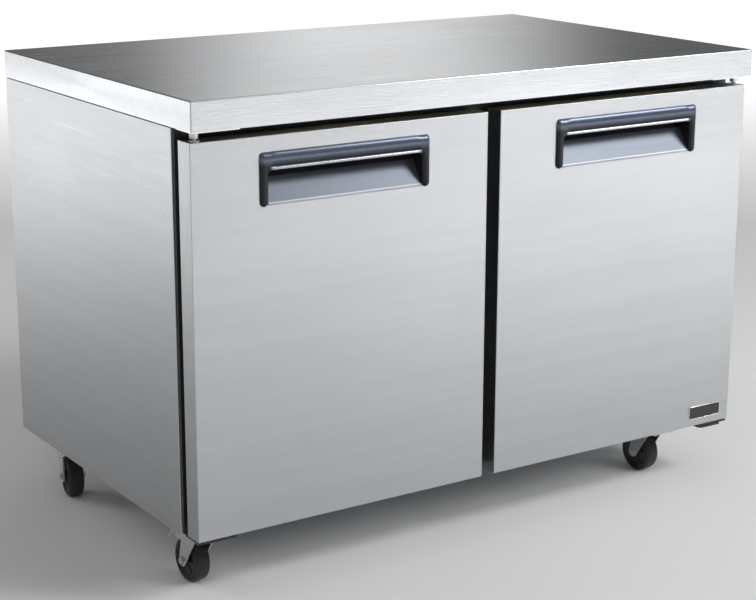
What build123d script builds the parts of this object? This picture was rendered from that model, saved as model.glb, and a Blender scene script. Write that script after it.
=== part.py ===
"""Two-door undercounter refrigerator on swivel casters, in millimetres.

Frame: +Z up, doors facing -Y, origin on the floor under the middle of the cabinet.
"""
from build123d import *
import os
from math import cos, radians, sin

os.makedirs("parts", exist_ok=True)

# ---- Overall sizes -------------------------------------------------------------------
WIDTH = 1225.0
DEPTH = 762.0
CASTER_HEIGHT = 104.0
BODY_HEIGHT = 760.0
SHEET = 1.2

HALF_W = WIDTH / 2
Y_FRONT = -DEPTH / 2
Y_REAR = DEPTH / 2
Z_BODY = CASTER_HEIGHT
Z_TOP = CASTER_HEIGHT + BODY_HEIGHT

# ---- Worktop ---------------------------------------------------------------------------
BAND = 51.0
Z_BAND = Z_TOP - BAND
WORKTOP_JOINT = 2.0
WORKTOP_RETURN = 14.0

# ---- Cabinet shell, foam and liner -----------------------------------------------------
FACE_RECESS = 71.0
Y_FACE = Y_FRONT + FACE_RECESS
BACK_RECESS = 2.0
Y_BACK = Y_REAR - BACK_RECESS
Z_SHELL_TOP = Z_BAND - WORKTOP_JOINT
FLANGE = 15.0
FRONT_FLANGE = 21.3
X_FOAM = HALF_W - SHEET
Y_FOAM_FRONT = Y_FACE + SHEET
Y_FOAM_REAR = Y_BACK - SHEET
Z_FOAM_LOW = Z_BODY + SHEET
Z_FOAM_TOP = Z_SHELL_TOP - SHEET

LINER = 1.0
X_BAY = 566.5
Z_FLOOR = 149.0
Z_CEILING = 755.0
Y_BAY_REAR = 331.0
Y_STEP = 140.0
Z_STEP = 446.0

Y_MACHINE = 181.0
Z_MACHINE = 405.0
Z_GRILLE_TOP = 400.0

MULLION_HALF = 52.0
MULLION_DEPTH = 40.0
BREAKER = 5.0
BREAKER_LIP = 1.5
LIP_DEPTH = 25.0
BREAKER_INSET = 3.5
Y_BREAKER = Y_FACE - BREAKER

# ---- Doors -----------------------------------------------------------------------------
DOOR_RECESS = 13.0
DOOR_THICK = 40.0
DOOR_SHEET = 1.0
DOOR_GAP = 28.0
DOOR_INSET = 3.5
Z_DOOR_LOW = 109.0
Z_DOOR_TOP = 794.0
X_DOOR_IN = DOOR_GAP / 2
X_DOOR_OUT = HALF_W - DOOR_INSET
X_DOOR_MID = (X_DOOR_IN + X_DOOR_OUT) / 2
Y_DOOR = Y_FRONT + DOOR_RECESS
Y_DOOR_BACK = Y_DOOR + DOOR_THICK
DOOR_RETURN = 12.0
GASKET_INSET = 18.0
GASKET_WIDTH = 18.0
GASKET_GAP = 0.3
Y_GASKET = Y_BREAKER - GASKET_GAP

# ---- Pull handle -------------------------------------------------------------------------
PULL_WIDTH = 340.0
PULL_HEIGHT = 92.0
PULL_DROP = 27.0
PULL_PROUD = 7.0
PULL_BAR = 31.0
PULL_LEG = 16.0
PULL_WALL = 2.0
POCKET_DEPTH = 30.0
Z_PULL_TOP = Z_DOOR_TOP - PULL_DROP
Z_PULL_LOW = Z_PULL_TOP - PULL_HEIGHT
POCKET_HALF = PULL_WIDTH / 2 - PULL_LEG

# ---- Hinges ------------------------------------------------------------------------------
HINGE_INSET = 16.0
X_HINGE = X_DOOR_OUT - HINGE_INSET
Y_HINGE = Y_DOOR + 14.0
PIN_R = 4.0
PIN_FIT = 0.06
BUSH_R = 7.0
BUSH_FLANGE_R = 9.0
BUSH_DEPTH = 22.0
HINGE_LENGTH = 88.0
TOP_PLATE = 3.0
LOW_PLATE = 3.5
Z_TOP_PLATE = Z_BAND - TOP_PLATE
Z_LOW_PLATE = Z_BODY + LOW_PLATE

# ---- Casters -----------------------------------------------------------------------------
WHEEL_R = 40.0
WHEEL_HALF = 15.0
TRAIL = 33.0
RAIL = 4.0
CASTER_PLATE = 3.0
PLATE_X = 60.0
PLATE_Y = 84.0
RACE_R = 22.0
KINGPIN_R = 5.0
AXLE_R = 4.0
Z_RAIL = Z_BODY - RAIL
Z_PLATE = Z_RAIL - CASTER_PLATE
Z_RACE = Z_PLATE - 5.0
CROWN = 4.2
Z_CROWN = Z_RACE - 0.3
FORK_LEG = 2.5
FORK_IN = 18.0
LEFT_CASTER_X = -570.5
RIGHT_CASTER_X = 465.5
FRONT_CASTER_Y = -303.0
REAR_CASTER_Y = 259.0
# name: swivel axis x, y, direction of the trail in degrees from +X, with a brake pedal
CASTERS = {
    "front_left": (LEFT_CASTER_X, FRONT_CASTER_Y, 92.0, True),
    "front_right": (RIGHT_CASTER_X, FRONT_CASTER_Y, 92.0, True),
    "rear_left": (LEFT_CASTER_X, REAR_CASTER_Y, -100.0, False),
    "rear_right": (RIGHT_CASTER_X, REAR_CASTER_Y, -86.0, False),
}

# ---- Inside the cabinet ------------------------------------------------------------------
Z_SHELF = 465.0
SHELF_ROD = 3.0
SHELF_WIRE = 1.6
SHELF_X = (24.0, 555.0)
SHELF_Y = (-250.0, 300.0)
PILASTER = 8.0
PILASTER_WIDTH = 22.0
EVAP_HALF = 230.0
EVAP_Z = (600.0, 745.0)
EVAP_Y = 215.0
FAN_R = 62.0
EVAP_FAN_AT = (0.0, 248.0, 678.0)
KNOB_AT = (285.0, 296.0, 670.0)
COND_FAN_AT = (270.0, 302.0, 232.0)
COND_FAN_R = 88.0
COMPRESSOR_AT = (-200.0, 278.0)


# ---- Shared shapes -------------------------------------------------------------------------
def block(x, y, z, mode=Mode.ADD):
    """Box between two values on each axis."""
    centre = [(span[0] + span[1]) / 2 for span in (x, y, z)]
    size = [abs(span[1] - span[0]) for span in (x, y, z)]
    with Locations(tuple(centre)):
        Box(*size, mode=mode)


def rod(start, end, radius, mode=Mode.ADD):
    """Cylinder from one point to another."""
    start, end = Vector(*start), Vector(*end)
    axis = end - start
    with Locations(Plane(start, z_dir=axis.normalized())):
        Cylinder(radius, axis.length, align=(Align.CENTER, Align.CENTER, Align.MIN), mode=mode)


def frame(x, z, y, inset, width, mode=Mode.ADD):
    """Rectangular ring in an XZ plane, lying inset from a rectangle."""
    outer = [(span[0] + inset, span[1] - inset) for span in (x, z)]
    inner = [(span[0] + width, span[1] - width) for span in outer]
    block(outer[0], y, outer[1], mode=mode)
    block(inner[0], y, inner[1], mode=Mode.SUBTRACT)


def sided(side, near, far):
    """Span of X on one side of the cabinet, side being -1 for left and +1 for right."""
    return tuple(sorted((side * near, side * far)))


def save(builder, label):
    """Label a finished piece and write it."""
    builder.part.label = label
    export_step(builder.part, f"parts/{label}.step")


def save_set(builders, label):
    """Write pieces that butt against each other as one node of separate solids."""
    export_step(Compound(label=label, children=[builder.part for builder in builders]), f"parts/{label}.step")


def screw(at, axis, head_r, head_h, shank_r, shank):
    """Pan-head screw: the head stands off the surface at `at`, the shank goes along axis."""
    at, axis = Vector(*at), Vector(*axis)
    rod(at - axis * head_h, at, head_r)
    if shank:
        rod(at, at + axis * shank, shank_r)


# ---- Worktop -------------------------------------------------------------------------------
with BuildPart() as worktop_skin:
    block((-HALF_W, HALF_W), (Y_FRONT, Y_REAR), (Z_BAND, Z_TOP))
    fillet(worktop_skin.edges().filter_by(Axis.Z), 2.4)
    fillet(worktop_skin.faces().sort_by(Axis.Z)[-1].edges(), 2.0)
    block(
        (-X_FOAM, X_FOAM), (Y_FRONT + SHEET, Y_REAR - SHEET), (Z_BAND + SHEET, Z_TOP - SHEET),
        mode=Mode.SUBTRACT,
    )
    block(
        (WORKTOP_RETURN - HALF_W, HALF_W - WORKTOP_RETURN),
        (Y_FRONT + WORKTOP_RETURN, Y_REAR - WORKTOP_RETURN),
        (Z_BAND, Z_BAND + SHEET),
        mode=Mode.SUBTRACT,
    )
save(worktop_skin, "worktop_skin")

with BuildPart() as worktop_core:
    block((-X_FOAM, X_FOAM), (Y_FRONT + SHEET, Y_REAR - SHEET), (Z_BAND + SHEET, Z_TOP - SHEET))
    block(
        (WORKTOP_RETURN - HALF_W, HALF_W - WORKTOP_RETURN),
        (Y_FRONT + WORKTOP_RETURN, Y_REAR - WORKTOP_RETURN),
        (Z_BAND, Z_BAND + SHEET),
    )
save(worktop_core, "worktop_core")

# ---- Cabinet shell ---------------------------------------------------------------------------
for side, name in ((-1, "left_side_panel"), (1, "right_side_panel")):
    with BuildPart() as side_panel:
        block(sided(side, X_FOAM, HALF_W), (Y_FACE, Y_BACK), (Z_BODY, Z_SHELL_TOP))
        block(sided(side, X_FOAM - FRONT_FLANGE, X_FOAM), (Y_FACE, Y_FOAM_FRONT), (Z_BODY, Z_SHELL_TOP))
        block(sided(side, X_FOAM - FLANGE, X_FOAM), (Y_FOAM_REAR, Y_BACK), (Z_BODY, Z_SHELL_TOP))
        block(sided(side, X_FOAM - FLANGE, X_FOAM), (Y_FACE, Y_BACK), (Z_BODY, Z_FOAM_LOW))
        block(sided(side, X_FOAM - FLANGE, X_FOAM), (Y_FACE, Y_BACK), (Z_FOAM_TOP, Z_SHELL_TOP))
        outer_corner = side_panel.edges().filter_by(Axis.Z).group_by(Axis.X)[0 if side < 0 else -1]
        fillet(outer_corner, 1.0)
    save(side_panel, name)

SPACER_X = (190.0, 560.0)
X_BETWEEN = X_FOAM - FLANGE
X_FACE_FLANGE = X_FOAM - FRONT_FLANGE
with BuildPart() as base_panel:
    block((-X_BETWEEN, X_BETWEEN), (Y_FOAM_FRONT, Y_FOAM_REAR), (Z_BODY, Z_FOAM_LOW))
    block((-X_FACE_FLANGE, X_FACE_FLANGE), (Y_FACE, Y_FOAM_FRONT), (Z_BODY, Z_FLOOR - LINER))
save(base_panel, "base_panel")

with BuildPart() as top_panel:
    block((-X_BETWEEN, X_BETWEEN), (Y_FOAM_FRONT, Y_FOAM_REAR), (Z_FOAM_TOP, Z_SHELL_TOP))
    block((-X_FACE_FLANGE, X_FACE_FLANGE), (Y_FACE, Y_FOAM_FRONT), (Z_CEILING + LINER, Z_SHELL_TOP))
    for x in (-SPACER_X[1], -SPACER_X[0], *SPACER_X):
        block((x - 20, x + 20), (Y_FOAM_FRONT, Y_FOAM_REAR), (Z_SHELL_TOP, Z_BAND))
save(top_panel, "top_panel")

PANEL_X = (-300.0, 0.0, 300.0)
PANEL_HALF = 90.0
PANEL_Z = (470.0, 760.0)
PANEL_SINK = 0.6
with BuildPart() as back_panel:
    block((-X_BETWEEN, X_BETWEEN), (Y_FOAM_REAR, Y_BACK), (Z_GRILLE_TOP, Z_SHELL_TOP))
    for x in PANEL_X:
        block((x - PANEL_HALF, x + PANEL_HALF), (Y_BACK - PANEL_SINK, Y_BACK), PANEL_Z, mode=Mode.SUBTRACT)
save(back_panel, "back_panel")

GLAND_AT = (-500.0, 170.0)
GLAND_R = 14.0
SLOT = (70.0, 7.0, 10.0)
SLOT_PITCH = (84.0, 17.0)
SLOT_GRID = (4, 13)
LOUVRE_AT = ((250.0, 250.0), (-130.0, 250.0))
with BuildPart() as rear_grille:
    block((-X_BETWEEN, X_BETWEEN), (Y_FOAM_REAR, Y_BACK), (Z_BODY, Z_GRILLE_TOP))
    with Locations(Plane.XZ.offset(-Y_BACK)):
        with Locations(*LOUVRE_AT):
            with GridLocations(*SLOT_PITCH, *SLOT_GRID):
                Box(*SLOT, mode=Mode.SUBTRACT)
    rod((GLAND_AT[0], Y_FOAM_REAR - 1, GLAND_AT[1]), (GLAND_AT[0], Y_BACK + 1, GLAND_AT[1]), GLAND_R,
        mode=Mode.SUBTRACT)
save(rear_grille, "rear_grille")

# Places where tubes pass from the machine space up into the cabinet, behind the shelves
DRAIN_AT = (-60.0, 319.0)
SUCTION_AT = (222.0, 313.0)
LIQUID_AT = (203.0, 313.0)
TUBE_HOLES = ((DRAIN_AT, 7.0), (SUCTION_AT, 8.0), (LIQUID_AT, 8.0))


def tube_holes(z):
    """Holes for the drain and refrigerant tubes."""
    for at, radius in TUBE_HOLES:
        rod((*at, z[0]), (*at, z[1]), radius, mode=Mode.SUBTRACT)


# Foam slabs: floor, riser behind the lower bay, deck over the machine space, back, roof and walls
X_LINED = X_BAY + LINER
Y_RISER = Y_STEP + LINER
Z_DECK_TOP = Z_STEP - LINER
Z_LINED_TOP = Z_CEILING + LINER
SPAN = (-X_LINED, X_LINED)
SLABS = (
    (SPAN, (Y_FOAM_FRONT, Y_MACHINE), (Z_FOAM_LOW, Z_FLOOR - LINER)),
    (SPAN, (Y_RISER, Y_MACHINE), (Z_FLOOR - LINER, Z_MACHINE)),
    (SPAN, (Y_RISER, Y_FOAM_REAR), (Z_MACHINE, Z_DECK_TOP)),
    (SPAN, (Y_BAY_REAR + LINER, Y_FOAM_REAR), (Z_DECK_TOP, Z_LINED_TOP)),
    (SPAN, (Y_FOAM_FRONT, Y_FOAM_REAR), (Z_LINED_TOP, Z_FOAM_TOP)),
    (sided(-1, X_LINED, X_FOAM), (Y_FOAM_FRONT, Y_FOAM_REAR), (Z_FOAM_LOW, Z_FOAM_TOP)),
    (sided(1, X_LINED, X_FOAM), (Y_FOAM_FRONT, Y_FOAM_REAR), (Z_FOAM_LOW, Z_FOAM_TOP)),
    (
        (SHEET - MULLION_HALF, MULLION_HALF - SHEET),
        (Y_FOAM_FRONT, Y_FOAM_FRONT + MULLION_DEPTH - SHEET),
        (Z_FLOOR, Z_CEILING),
    ),
)
foam_slabs = []
for slab_x, slab_y, slab_z in SLABS:
    with BuildPart() as slab:
        block(slab_x, slab_y, slab_z)
        if slab_z[0] == Z_MACHINE:
            tube_holes((Z_MACHINE - 1, Z_DECK_TOP + 1))
    foam_slabs.append(slab)
save_set(foam_slabs, "cabinet_insulation")

with BuildPart() as inner_liner:
    block(
        (-X_BAY - LINER, X_BAY + LINER), (Y_FOAM_FRONT, Y_STEP + LINER), (Z_FLOOR - LINER, Z_CEILING + LINER)
    )
    block(
        (-X_BAY - LINER, X_BAY + LINER), (Y_FOAM_FRONT, Y_BAY_REAR + LINER),
        (Z_STEP - LINER, Z_CEILING + LINER),
    )
    block((-X_BAY, X_BAY), (Y_FOAM_FRONT, Y_STEP), (Z_FLOOR, Z_CEILING), mode=Mode.SUBTRACT)
    block((-X_BAY, X_BAY), (Y_FOAM_FRONT, Y_BAY_REAR), (Z_STEP, Z_CEILING), mode=Mode.SUBTRACT)
    tube_holes((Z_STEP - LINER - 1, Z_STEP + 1))
save(inner_liner, "inner_liner")

with BuildPart() as mullion_cover:
    block(
        (-MULLION_HALF, MULLION_HALF), (Y_FACE, Y_FOAM_FRONT + MULLION_DEPTH), (Z_FLOOR, Z_CEILING)
    )
    block(
        (SHEET - MULLION_HALF, MULLION_HALF - SHEET),
        (Y_FOAM_FRONT, Y_FOAM_FRONT + MULLION_DEPTH - SHEET),
        (Z_FLOOR, Z_CEILING),
        mode=Mode.SUBTRACT,
    )
save(mullion_cover, "mullion_cover")

# Breaker strips around the door openings: each has a face strip and a lip into its bays
X_FRAME = HALF_W - BREAKER_INSET
Y_STRIP = (Y_BREAKER, Y_FACE)
Y_LIP = (Y_BREAKER, Y_FACE + LIP_DEPTH)
Z_SIDE_LIP = (Z_FLOOR + BREAKER_LIP, Z_CEILING - BREAKER_LIP)
strips = []
for z_strip, z_lip in (
    ((Z_BODY + 4, Z_FLOOR), (Z_FLOOR, Z_FLOOR + BREAKER_LIP)),
    ((Z_CEILING, Z_SHELL_TOP), (Z_CEILING - BREAKER_LIP, Z_CEILING)),
):
    with BuildPart() as strip:
        block((-X_FRAME, X_FRAME), Y_STRIP, z_strip)
        for side in (-1, 1):
            block(sided(side, MULLION_HALF, X_BAY), Y_LIP, z_lip)
    strips.append(strip)
for side in (-1, 1):
    with BuildPart() as strip:
        block(sided(side, X_BAY, X_FRAME), Y_STRIP, (Z_FLOOR, Z_CEILING))
        block(sided(side, X_BAY - BREAKER_LIP, X_BAY), Y_LIP, Z_SIDE_LIP)
    strips.append(strip)
with BuildPart() as strip:
    block((-MULLION_HALF, MULLION_HALF), Y_STRIP, (Z_FLOOR, Z_CEILING))
    for side in (-1, 1):
        block(sided(side, MULLION_HALF, MULLION_HALF + BREAKER_LIP), Y_LIP, Z_SIDE_LIP)
strips.append(strip)
save_set(strips, "breaker_frame")

# ---- Shelves and their supports ------------------------------------------------------------
Y_PILASTER_FRONT = -240.0
Y_PILASTER_REAR = 275.0
Y_MULLION_BACK = Y_FOAM_FRONT + MULLION_DEPTH
SIDE_SLOT = (2 * PILASTER, 12.0, 6.0)
REAR_SLOT = (12.0, 2 * PILASTER, 6.0)


def pilaster(x, y, z, slot_size):
    """Slotted support strip between two heights."""
    block(x, y, z)
    count = int((z[1] - z[0] - 20) // 25)
    middle = ((x[0] + x[1]) / 2, (y[0] + y[1]) / 2)
    with Locations([(*middle, z[0] + 20 + 25 * step) for step in range(count)]):
        Box(*slot_size, mode=Mode.SUBTRACT)


with BuildPart() as shelf_pilasters:
    for side in (-1, 1):
        wall = sided(side, X_BAY - PILASTER, X_BAY)
        half = PILASTER_WIDTH / 2
        pilaster(wall, (Y_PILASTER_FRONT - half, Y_PILASTER_FRONT + half), (Z_FLOOR + 30, 735), SIDE_SLOT)
        pilaster(wall, (Y_PILASTER_REAR - half, Y_PILASTER_REAR + half), (Z_STEP + 4, 735), SIDE_SLOT)
    pilaster((-16, 16), (Y_MULLION_BACK, Y_MULLION_BACK + PILASTER), (Z_FLOOR + 30, 735), REAR_SLOT)
    pilaster((-16, 16), (Y_BAY_REAR - PILASTER, Y_BAY_REAR), (Z_STEP + 4, EVAP_Z[0] - 6), REAR_SLOT)
save(shelf_pilasters, "shelf_pilasters")

Z_CLIP = Z_SHELF - SHELF_ROD
with BuildPart() as shelf_clips:
    for side in (-1, 1):
        for y in (Y_PILASTER_FRONT, Y_PILASTER_REAR):
            block(sided(side, X_BAY - PILASTER - 13, X_BAY - PILASTER), (y - 8, y + 8), (Z_CLIP - 3, Z_CLIP))
            block(sided(side, X_BAY - PILASTER - 2, X_BAY - PILASTER), (y - 8, y + 8), (Z_CLIP - 16, Z_CLIP))
        block(sided(side, 2, 34), (Y_MULLION_BACK + PILASTER, SHELF_Y[0] + 6), (Z_CLIP - 3, Z_CLIP))
        block(sided(side, 2, 16), (Y_MULLION_BACK + PILASTER, Y_MULLION_BACK + PILASTER + 2),
              (Z_CLIP - 16, Z_CLIP))
        block(sided(side, 2, 34), (SHELF_Y[1] - 6, Y_BAY_REAR - PILASTER), (Z_CLIP - 3, Z_CLIP))
        block(sided(side, 2, 16), (Y_BAY_REAR - PILASTER - 2, Y_BAY_REAR - PILASTER), (Z_CLIP - 16, Z_CLIP))
save(shelf_clips, "shelf_clips")

SHELF_PITCH = 26.0
for side, name in ((-1, "shelf_left"), (1, "shelf_right")):
    x_low, x_high = sided(side, *SHELF_X)
    with BuildPart() as shelf:
        corners = [(x_low, SHELF_Y[0]), (x_high, SHELF_Y[0]), (x_high, SHELF_Y[1]), (x_low, SHELF_Y[1])]
        for corner, after in zip(corners, corners[1:] + corners[:1]):
            rod((*corner, Z_SHELF), (*after, Z_SHELF), SHELF_ROD)
            with Locations((*corner, Z_SHELF)):
                Sphere(SHELF_ROD)
        for y in (SHELF_Y[0] + 150, SHELF_Y[1] - 150):
            rod((x_low, y, Z_SHELF), (x_high, y, Z_SHELF), SHELF_ROD)
        wires = int((x_high - x_low) // SHELF_PITCH) - 1
        first = (x_low + x_high) / 2 - SHELF_PITCH * wires / 2
        height = Z_SHELF + SHELF_ROD - 0.6
        centre_y = (SHELF_Y[0] + SHELF_Y[1]) / 2
        with Locations([(first + SHELF_PITCH * step, centre_y, height) for step in range(wires + 1)]):
            Cylinder(SHELF_WIRE, SHELF_Y[1] - SHELF_Y[0] + 4, rotation=(90, 0, 0))
    save(shelf, name)

# ---- Evaporator ----------------------------------------------------------------------------
def coil_centre(x, y, z):
    """Middle of the box between two values on each axis."""
    return ((x[0] + x[1]) / 2, (y[0] + y[1]) / 2, (z[0] + z[1]) / 2)


COIL_X = (-180.0, 180.0)
COIL_Y = (286.0, 322.0)
COIL_Z = (618.0, 738.0)
with BuildPart() as evaporator_coil:
    with Locations(coil_centre(COIL_X, COIL_Y, COIL_Z)):
        with GridLocations(15, 1, 25, 1):
            Box(1.2, COIL_Y[1] - COIL_Y[0], COIL_Z[1] - COIL_Z[0])
    with Locations(Plane(coil_centre(COIL_X, COIL_Y, COIL_Z), x_dir=(0, 1, 0), z_dir=(1, 0, 0))):
        with GridLocations(18, 30, 2, 4):
            Cylinder(4.5, COIL_X[1] - COIL_X[0] + 24)
save(evaporator_coil, "evaporator_coil")

with BuildPart() as evaporator_cover:
    block((-EVAP_HALF, EVAP_HALF), (EVAP_Y, Y_BAY_REAR), EVAP_Z)
    lower_front = evaporator_cover.edges().filter_by(Axis.X).group_by(Axis.Y)[0].sort_by(Axis.Z)
    chamfer(lower_front[0], 25)
    block(
        (-EVAP_HALF + 1.5, EVAP_HALF - 1.5), (EVAP_Y + 1.5, Y_BAY_REAR), (EVAP_Z[0] + 16, EVAP_Z[1] - 1.5),
        mode=Mode.SUBTRACT,
    )
    block(
        (-EVAP_HALF + 1.5, EVAP_HALF - 1.5), (EVAP_Y + 28, Y_BAY_REAR), (EVAP_Z[0], EVAP_Z[0] + 20),
        mode=Mode.SUBTRACT,
    )
    rod((0, EVAP_Y - 1, EVAP_FAN_AT[2]), (0, EVAP_Y + 3, EVAP_FAN_AT[2]), FAN_R - 2, mode=Mode.SUBTRACT)
    for ring in (18, 36, 54):
        rod((0, EVAP_Y, EVAP_FAN_AT[2]), (0, EVAP_Y + 1.5, EVAP_FAN_AT[2]), ring + 1.4)
        rod((0, EVAP_Y - 1, EVAP_FAN_AT[2]), (0, EVAP_Y + 3, EVAP_FAN_AT[2]), ring - 1.4, mode=Mode.SUBTRACT)
    block((-FAN_R, FAN_R), (EVAP_Y, EVAP_Y + 1.5), (EVAP_FAN_AT[2] - 2, EVAP_FAN_AT[2] + 2))
    block((-2, 2), (EVAP_Y, EVAP_Y + 1.5), (EVAP_FAN_AT[2] - FAN_R, EVAP_FAN_AT[2] + FAN_R))
save(evaporator_cover, "evaporator_cover")

FAN_HUB_R = 16.0
SHAFT_R = 3.0
SHAFT_FIT = 0.06


def fan(centre, radius, depth, blades):
    """Axial fan turning about Y: a bored hub with tilted blades."""
    with BuildPart() as impeller:
        with Locations(Plane(centre, x_dir=(1, 0, 0), z_dir=(0, -1, 0))):
            Cylinder(FAN_HUB_R, depth)
            with PolarLocations(radius / 2 + FAN_HUB_R / 2 - 1, blades):
                Box(radius - FAN_HUB_R + 2, radius * 0.42, 1.6, rotation=(28, 0, 0))
            Cylinder(radius, depth, mode=Mode.INTERSECT)
            Cylinder(SHAFT_R + SHAFT_FIT, depth, mode=Mode.SUBTRACT)
    return impeller


evaporator_fan = fan(EVAP_FAN_AT, FAN_R - 6, 22, 5)
save(evaporator_fan, "evaporator_fan")
condenser_fan = fan(COND_FAN_AT, COND_FAN_R - 5, 26, 5)
save(condenser_fan, "condenser_fan")

with BuildPart() as evaporator_motor:
    x, y, z = EVAP_FAN_AT
    rod((x, y + 12, z), (x, y + 34, z), 22)
    rod((x, y - 10, z), (x, y + 12, z), SHAFT_R)
    for side in (-1, 1):
        block(sided(side, 20, EVAP_HALF - 1.5), (y + 22, y + 25), (z - 6, z + 6))
save(evaporator_motor, "evaporator_motor")

with BuildPart() as drain_pan:
    block((-212, 194), (EVAP_Y + 32, Y_BAY_REAR - 4), (EVAP_Z[0] - 4, EVAP_Z[0] + 14))
    block((-210.5, 192.5), (EVAP_Y + 33.5, Y_BAY_REAR - 5.5), (EVAP_Z[0] - 2.5, EVAP_Z[0] + 14),
          mode=Mode.SUBTRACT)
    rod((*DRAIN_AT, 150), (*DRAIN_AT, EVAP_Z[0] - 2.5), 6)
    rod((*DRAIN_AT, 149), (*DRAIN_AT, EVAP_Z[0]), 4.5, mode=Mode.SUBTRACT)
save(drain_pan, "drain_pan")

with BuildPart() as thermostat_body:
    x, y, z = KNOB_AT
    block((x - 32, x + 32), (y + 4, Y_BAY_REAR), (z - 40, z + 40))
    fillet(thermostat_body.edges().filter_by(Axis.Y), 6)
    rod((x, y - 10, z), (x, y + 4, z), SHAFT_R)
save(thermostat_body, "thermostat_body")

with BuildPart() as thermostat_knob:
    x, y, z = KNOB_AT
    rod((x, y - 12, z), (x, y + 3.6, z), 17)
    block((x - 2.5, x + 2.5), (y - 18, y - 11), (z - 16, z + 16))
    rod((x, y - 10.5, z), (x, y + 4, z), SHAFT_R + SHAFT_FIT, mode=Mode.SUBTRACT)
save(thermostat_knob, "thermostat_knob")

# ---- Condensing unit -------------------------------------------------------------------------
Z_TRAY = Z_FOAM_LOW + 2.0
with BuildPart() as unit_tray:
    block((-320, 430), (192, 374), (Z_FOAM_LOW, Z_TRAY))
    for y in ((192, 193.5), (372.5, 374)):
        block((-320, 430), y, (Z_TRAY, Z_TRAY + 12))
save(unit_tray, "unit_tray")

COMPRESSOR_R = 72.0
Z_SHELL_LOW = Z_TRAY + 16.0
with BuildPart() as compressor:
    x, y = COMPRESSOR_AT
    with BuildSketch(Plane((x, y, 0), x_dir=(1, 0, 0), z_dir=(0, -1, 0))):
        with BuildLine():
            Polyline((0, Z_SHELL_LOW), (46, Z_SHELL_LOW))
            RadiusArc((46, Z_SHELL_LOW), (COMPRESSOR_R, Z_SHELL_LOW + 26), -26)
            Polyline(
                (COMPRESSOR_R, Z_SHELL_LOW + 26), (COMPRESSOR_R, Z_SHELL_LOW + 74),
                (COMPRESSOR_R + 3, Z_SHELL_LOW + 74), (COMPRESSOR_R + 3, Z_SHELL_LOW + 86),
                (COMPRESSOR_R, Z_SHELL_LOW + 86), (COMPRESSOR_R, Z_SHELL_LOW + 112),
            )
            RadiusArc((COMPRESSOR_R, Z_SHELL_LOW + 112), (28, Z_SHELL_LOW + 156), -44)
            Polyline((28, Z_SHELL_LOW + 156), (0, Z_SHELL_LOW + 156), (0, Z_SHELL_LOW))
        make_face()
    revolve(axis=Axis((x, y, 0), (0, 0, 1)))
    block((x - 90, x + 90), (y - 42, y + 42), (Z_SHELL_LOW - 4, Z_SHELL_LOW + 2))
    with Locations((x, y, (Z_TRAY + Z_SHELL_LOW - 4) / 2)):
        with GridLocations(156, 62, 2, 2):
            Cylinder(9, Z_SHELL_LOW - 4 - Z_TRAY)
    block((x + 60, x + 92), (y - 26, y + 26), (Z_SHELL_LOW + 30, Z_SHELL_LOW + 68))
save(compressor, "compressor")

COND_X = (150.0, 390.0)
COND_Y = (334.0, 368.0)
COND_Z = (Z_TRAY + 14.0, Z_TRAY + 232.0)
with BuildPart() as condenser_coil:
    with Locations(coil_centre(COND_X, COND_Y, COND_Z)):
        with GridLocations(12, 1, 21, 1):
            Box(1.2, COND_Y[1] - COND_Y[0], COND_Z[1] - COND_Z[0])
    with Locations(Plane(coil_centre(COND_X, COND_Y, COND_Z), x_dir=(0, 1, 0), z_dir=(1, 0, 0))):
        with GridLocations(17, 36, 2, 6):
            Cylinder(4.5, COND_X[1] - COND_X[0] + 24)
    for x in (COND_X[0] - 4, COND_X[1] + 2):
        block((x, x + 2), COND_Y, (Z_TRAY, COND_Z[1] + 4))
save(condenser_coil, "condenser_coil")

Y_SHROUD = COND_FAN_AT[1] - 12
with BuildPart() as condenser_shroud:
    block((COND_X[0] - 6, COND_X[1] + 6), (Y_SHROUD, COND_Y[0]), (Z_TRAY, COND_Z[1] + 6))
    block((COND_X[0] - 4.5, COND_X[1] + 4.5), (Y_SHROUD + 1.5, COND_Y[0]), (Z_TRAY, COND_Z[1] + 4.5),
          mode=Mode.SUBTRACT)
    x, _, z = COND_FAN_AT
    rod((x, Y_SHROUD - 1, z), (x, Y_SHROUD + 3, z), COND_FAN_R, mode=Mode.SUBTRACT)
save(condenser_shroud, "condenser_shroud")

with BuildPart() as condenser_motor:
    x, y, z = COND_FAN_AT
    rod((x, y - 76, z), (x, y - 26, z), 34)
    rod((x, y - 26, z), (x, y + 8, z), SHAFT_R)
    for side in (-1, 1):
        block((x + side * 30, x + side * 112), (y - 45, y - 42), (z - 8, z + 8))
        block((x + side * 109, x + side * 112), (y - 45, Y_SHROUD), (z - 8, z + 8))
save(condenser_motor, "condenser_motor")

with BuildPart() as condensate_pan:
    block((-100, 80), (205, 340), (Z_TRAY, Z_TRAY + 60))
    block((-98, 78), (207, 338), (Z_TRAY + 2, Z_TRAY + 60), mode=Mode.SUBTRACT)
save(condensate_pan, "condensate_pan")


def tube(points, radius, bends):
    """Round tube along straight runs joined by arcs."""
    start, after = Vector(*points[0]), Vector(*points[1])
    with BuildPart() as pipe:
        with BuildLine() as route:
            FilletPolyline(*points, radius=bends)
        with BuildSketch(Plane(start, z_dir=(after - start).normalized())):
            Circle(radius)
        sweep(path=route.line)
    return pipe.part


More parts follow.
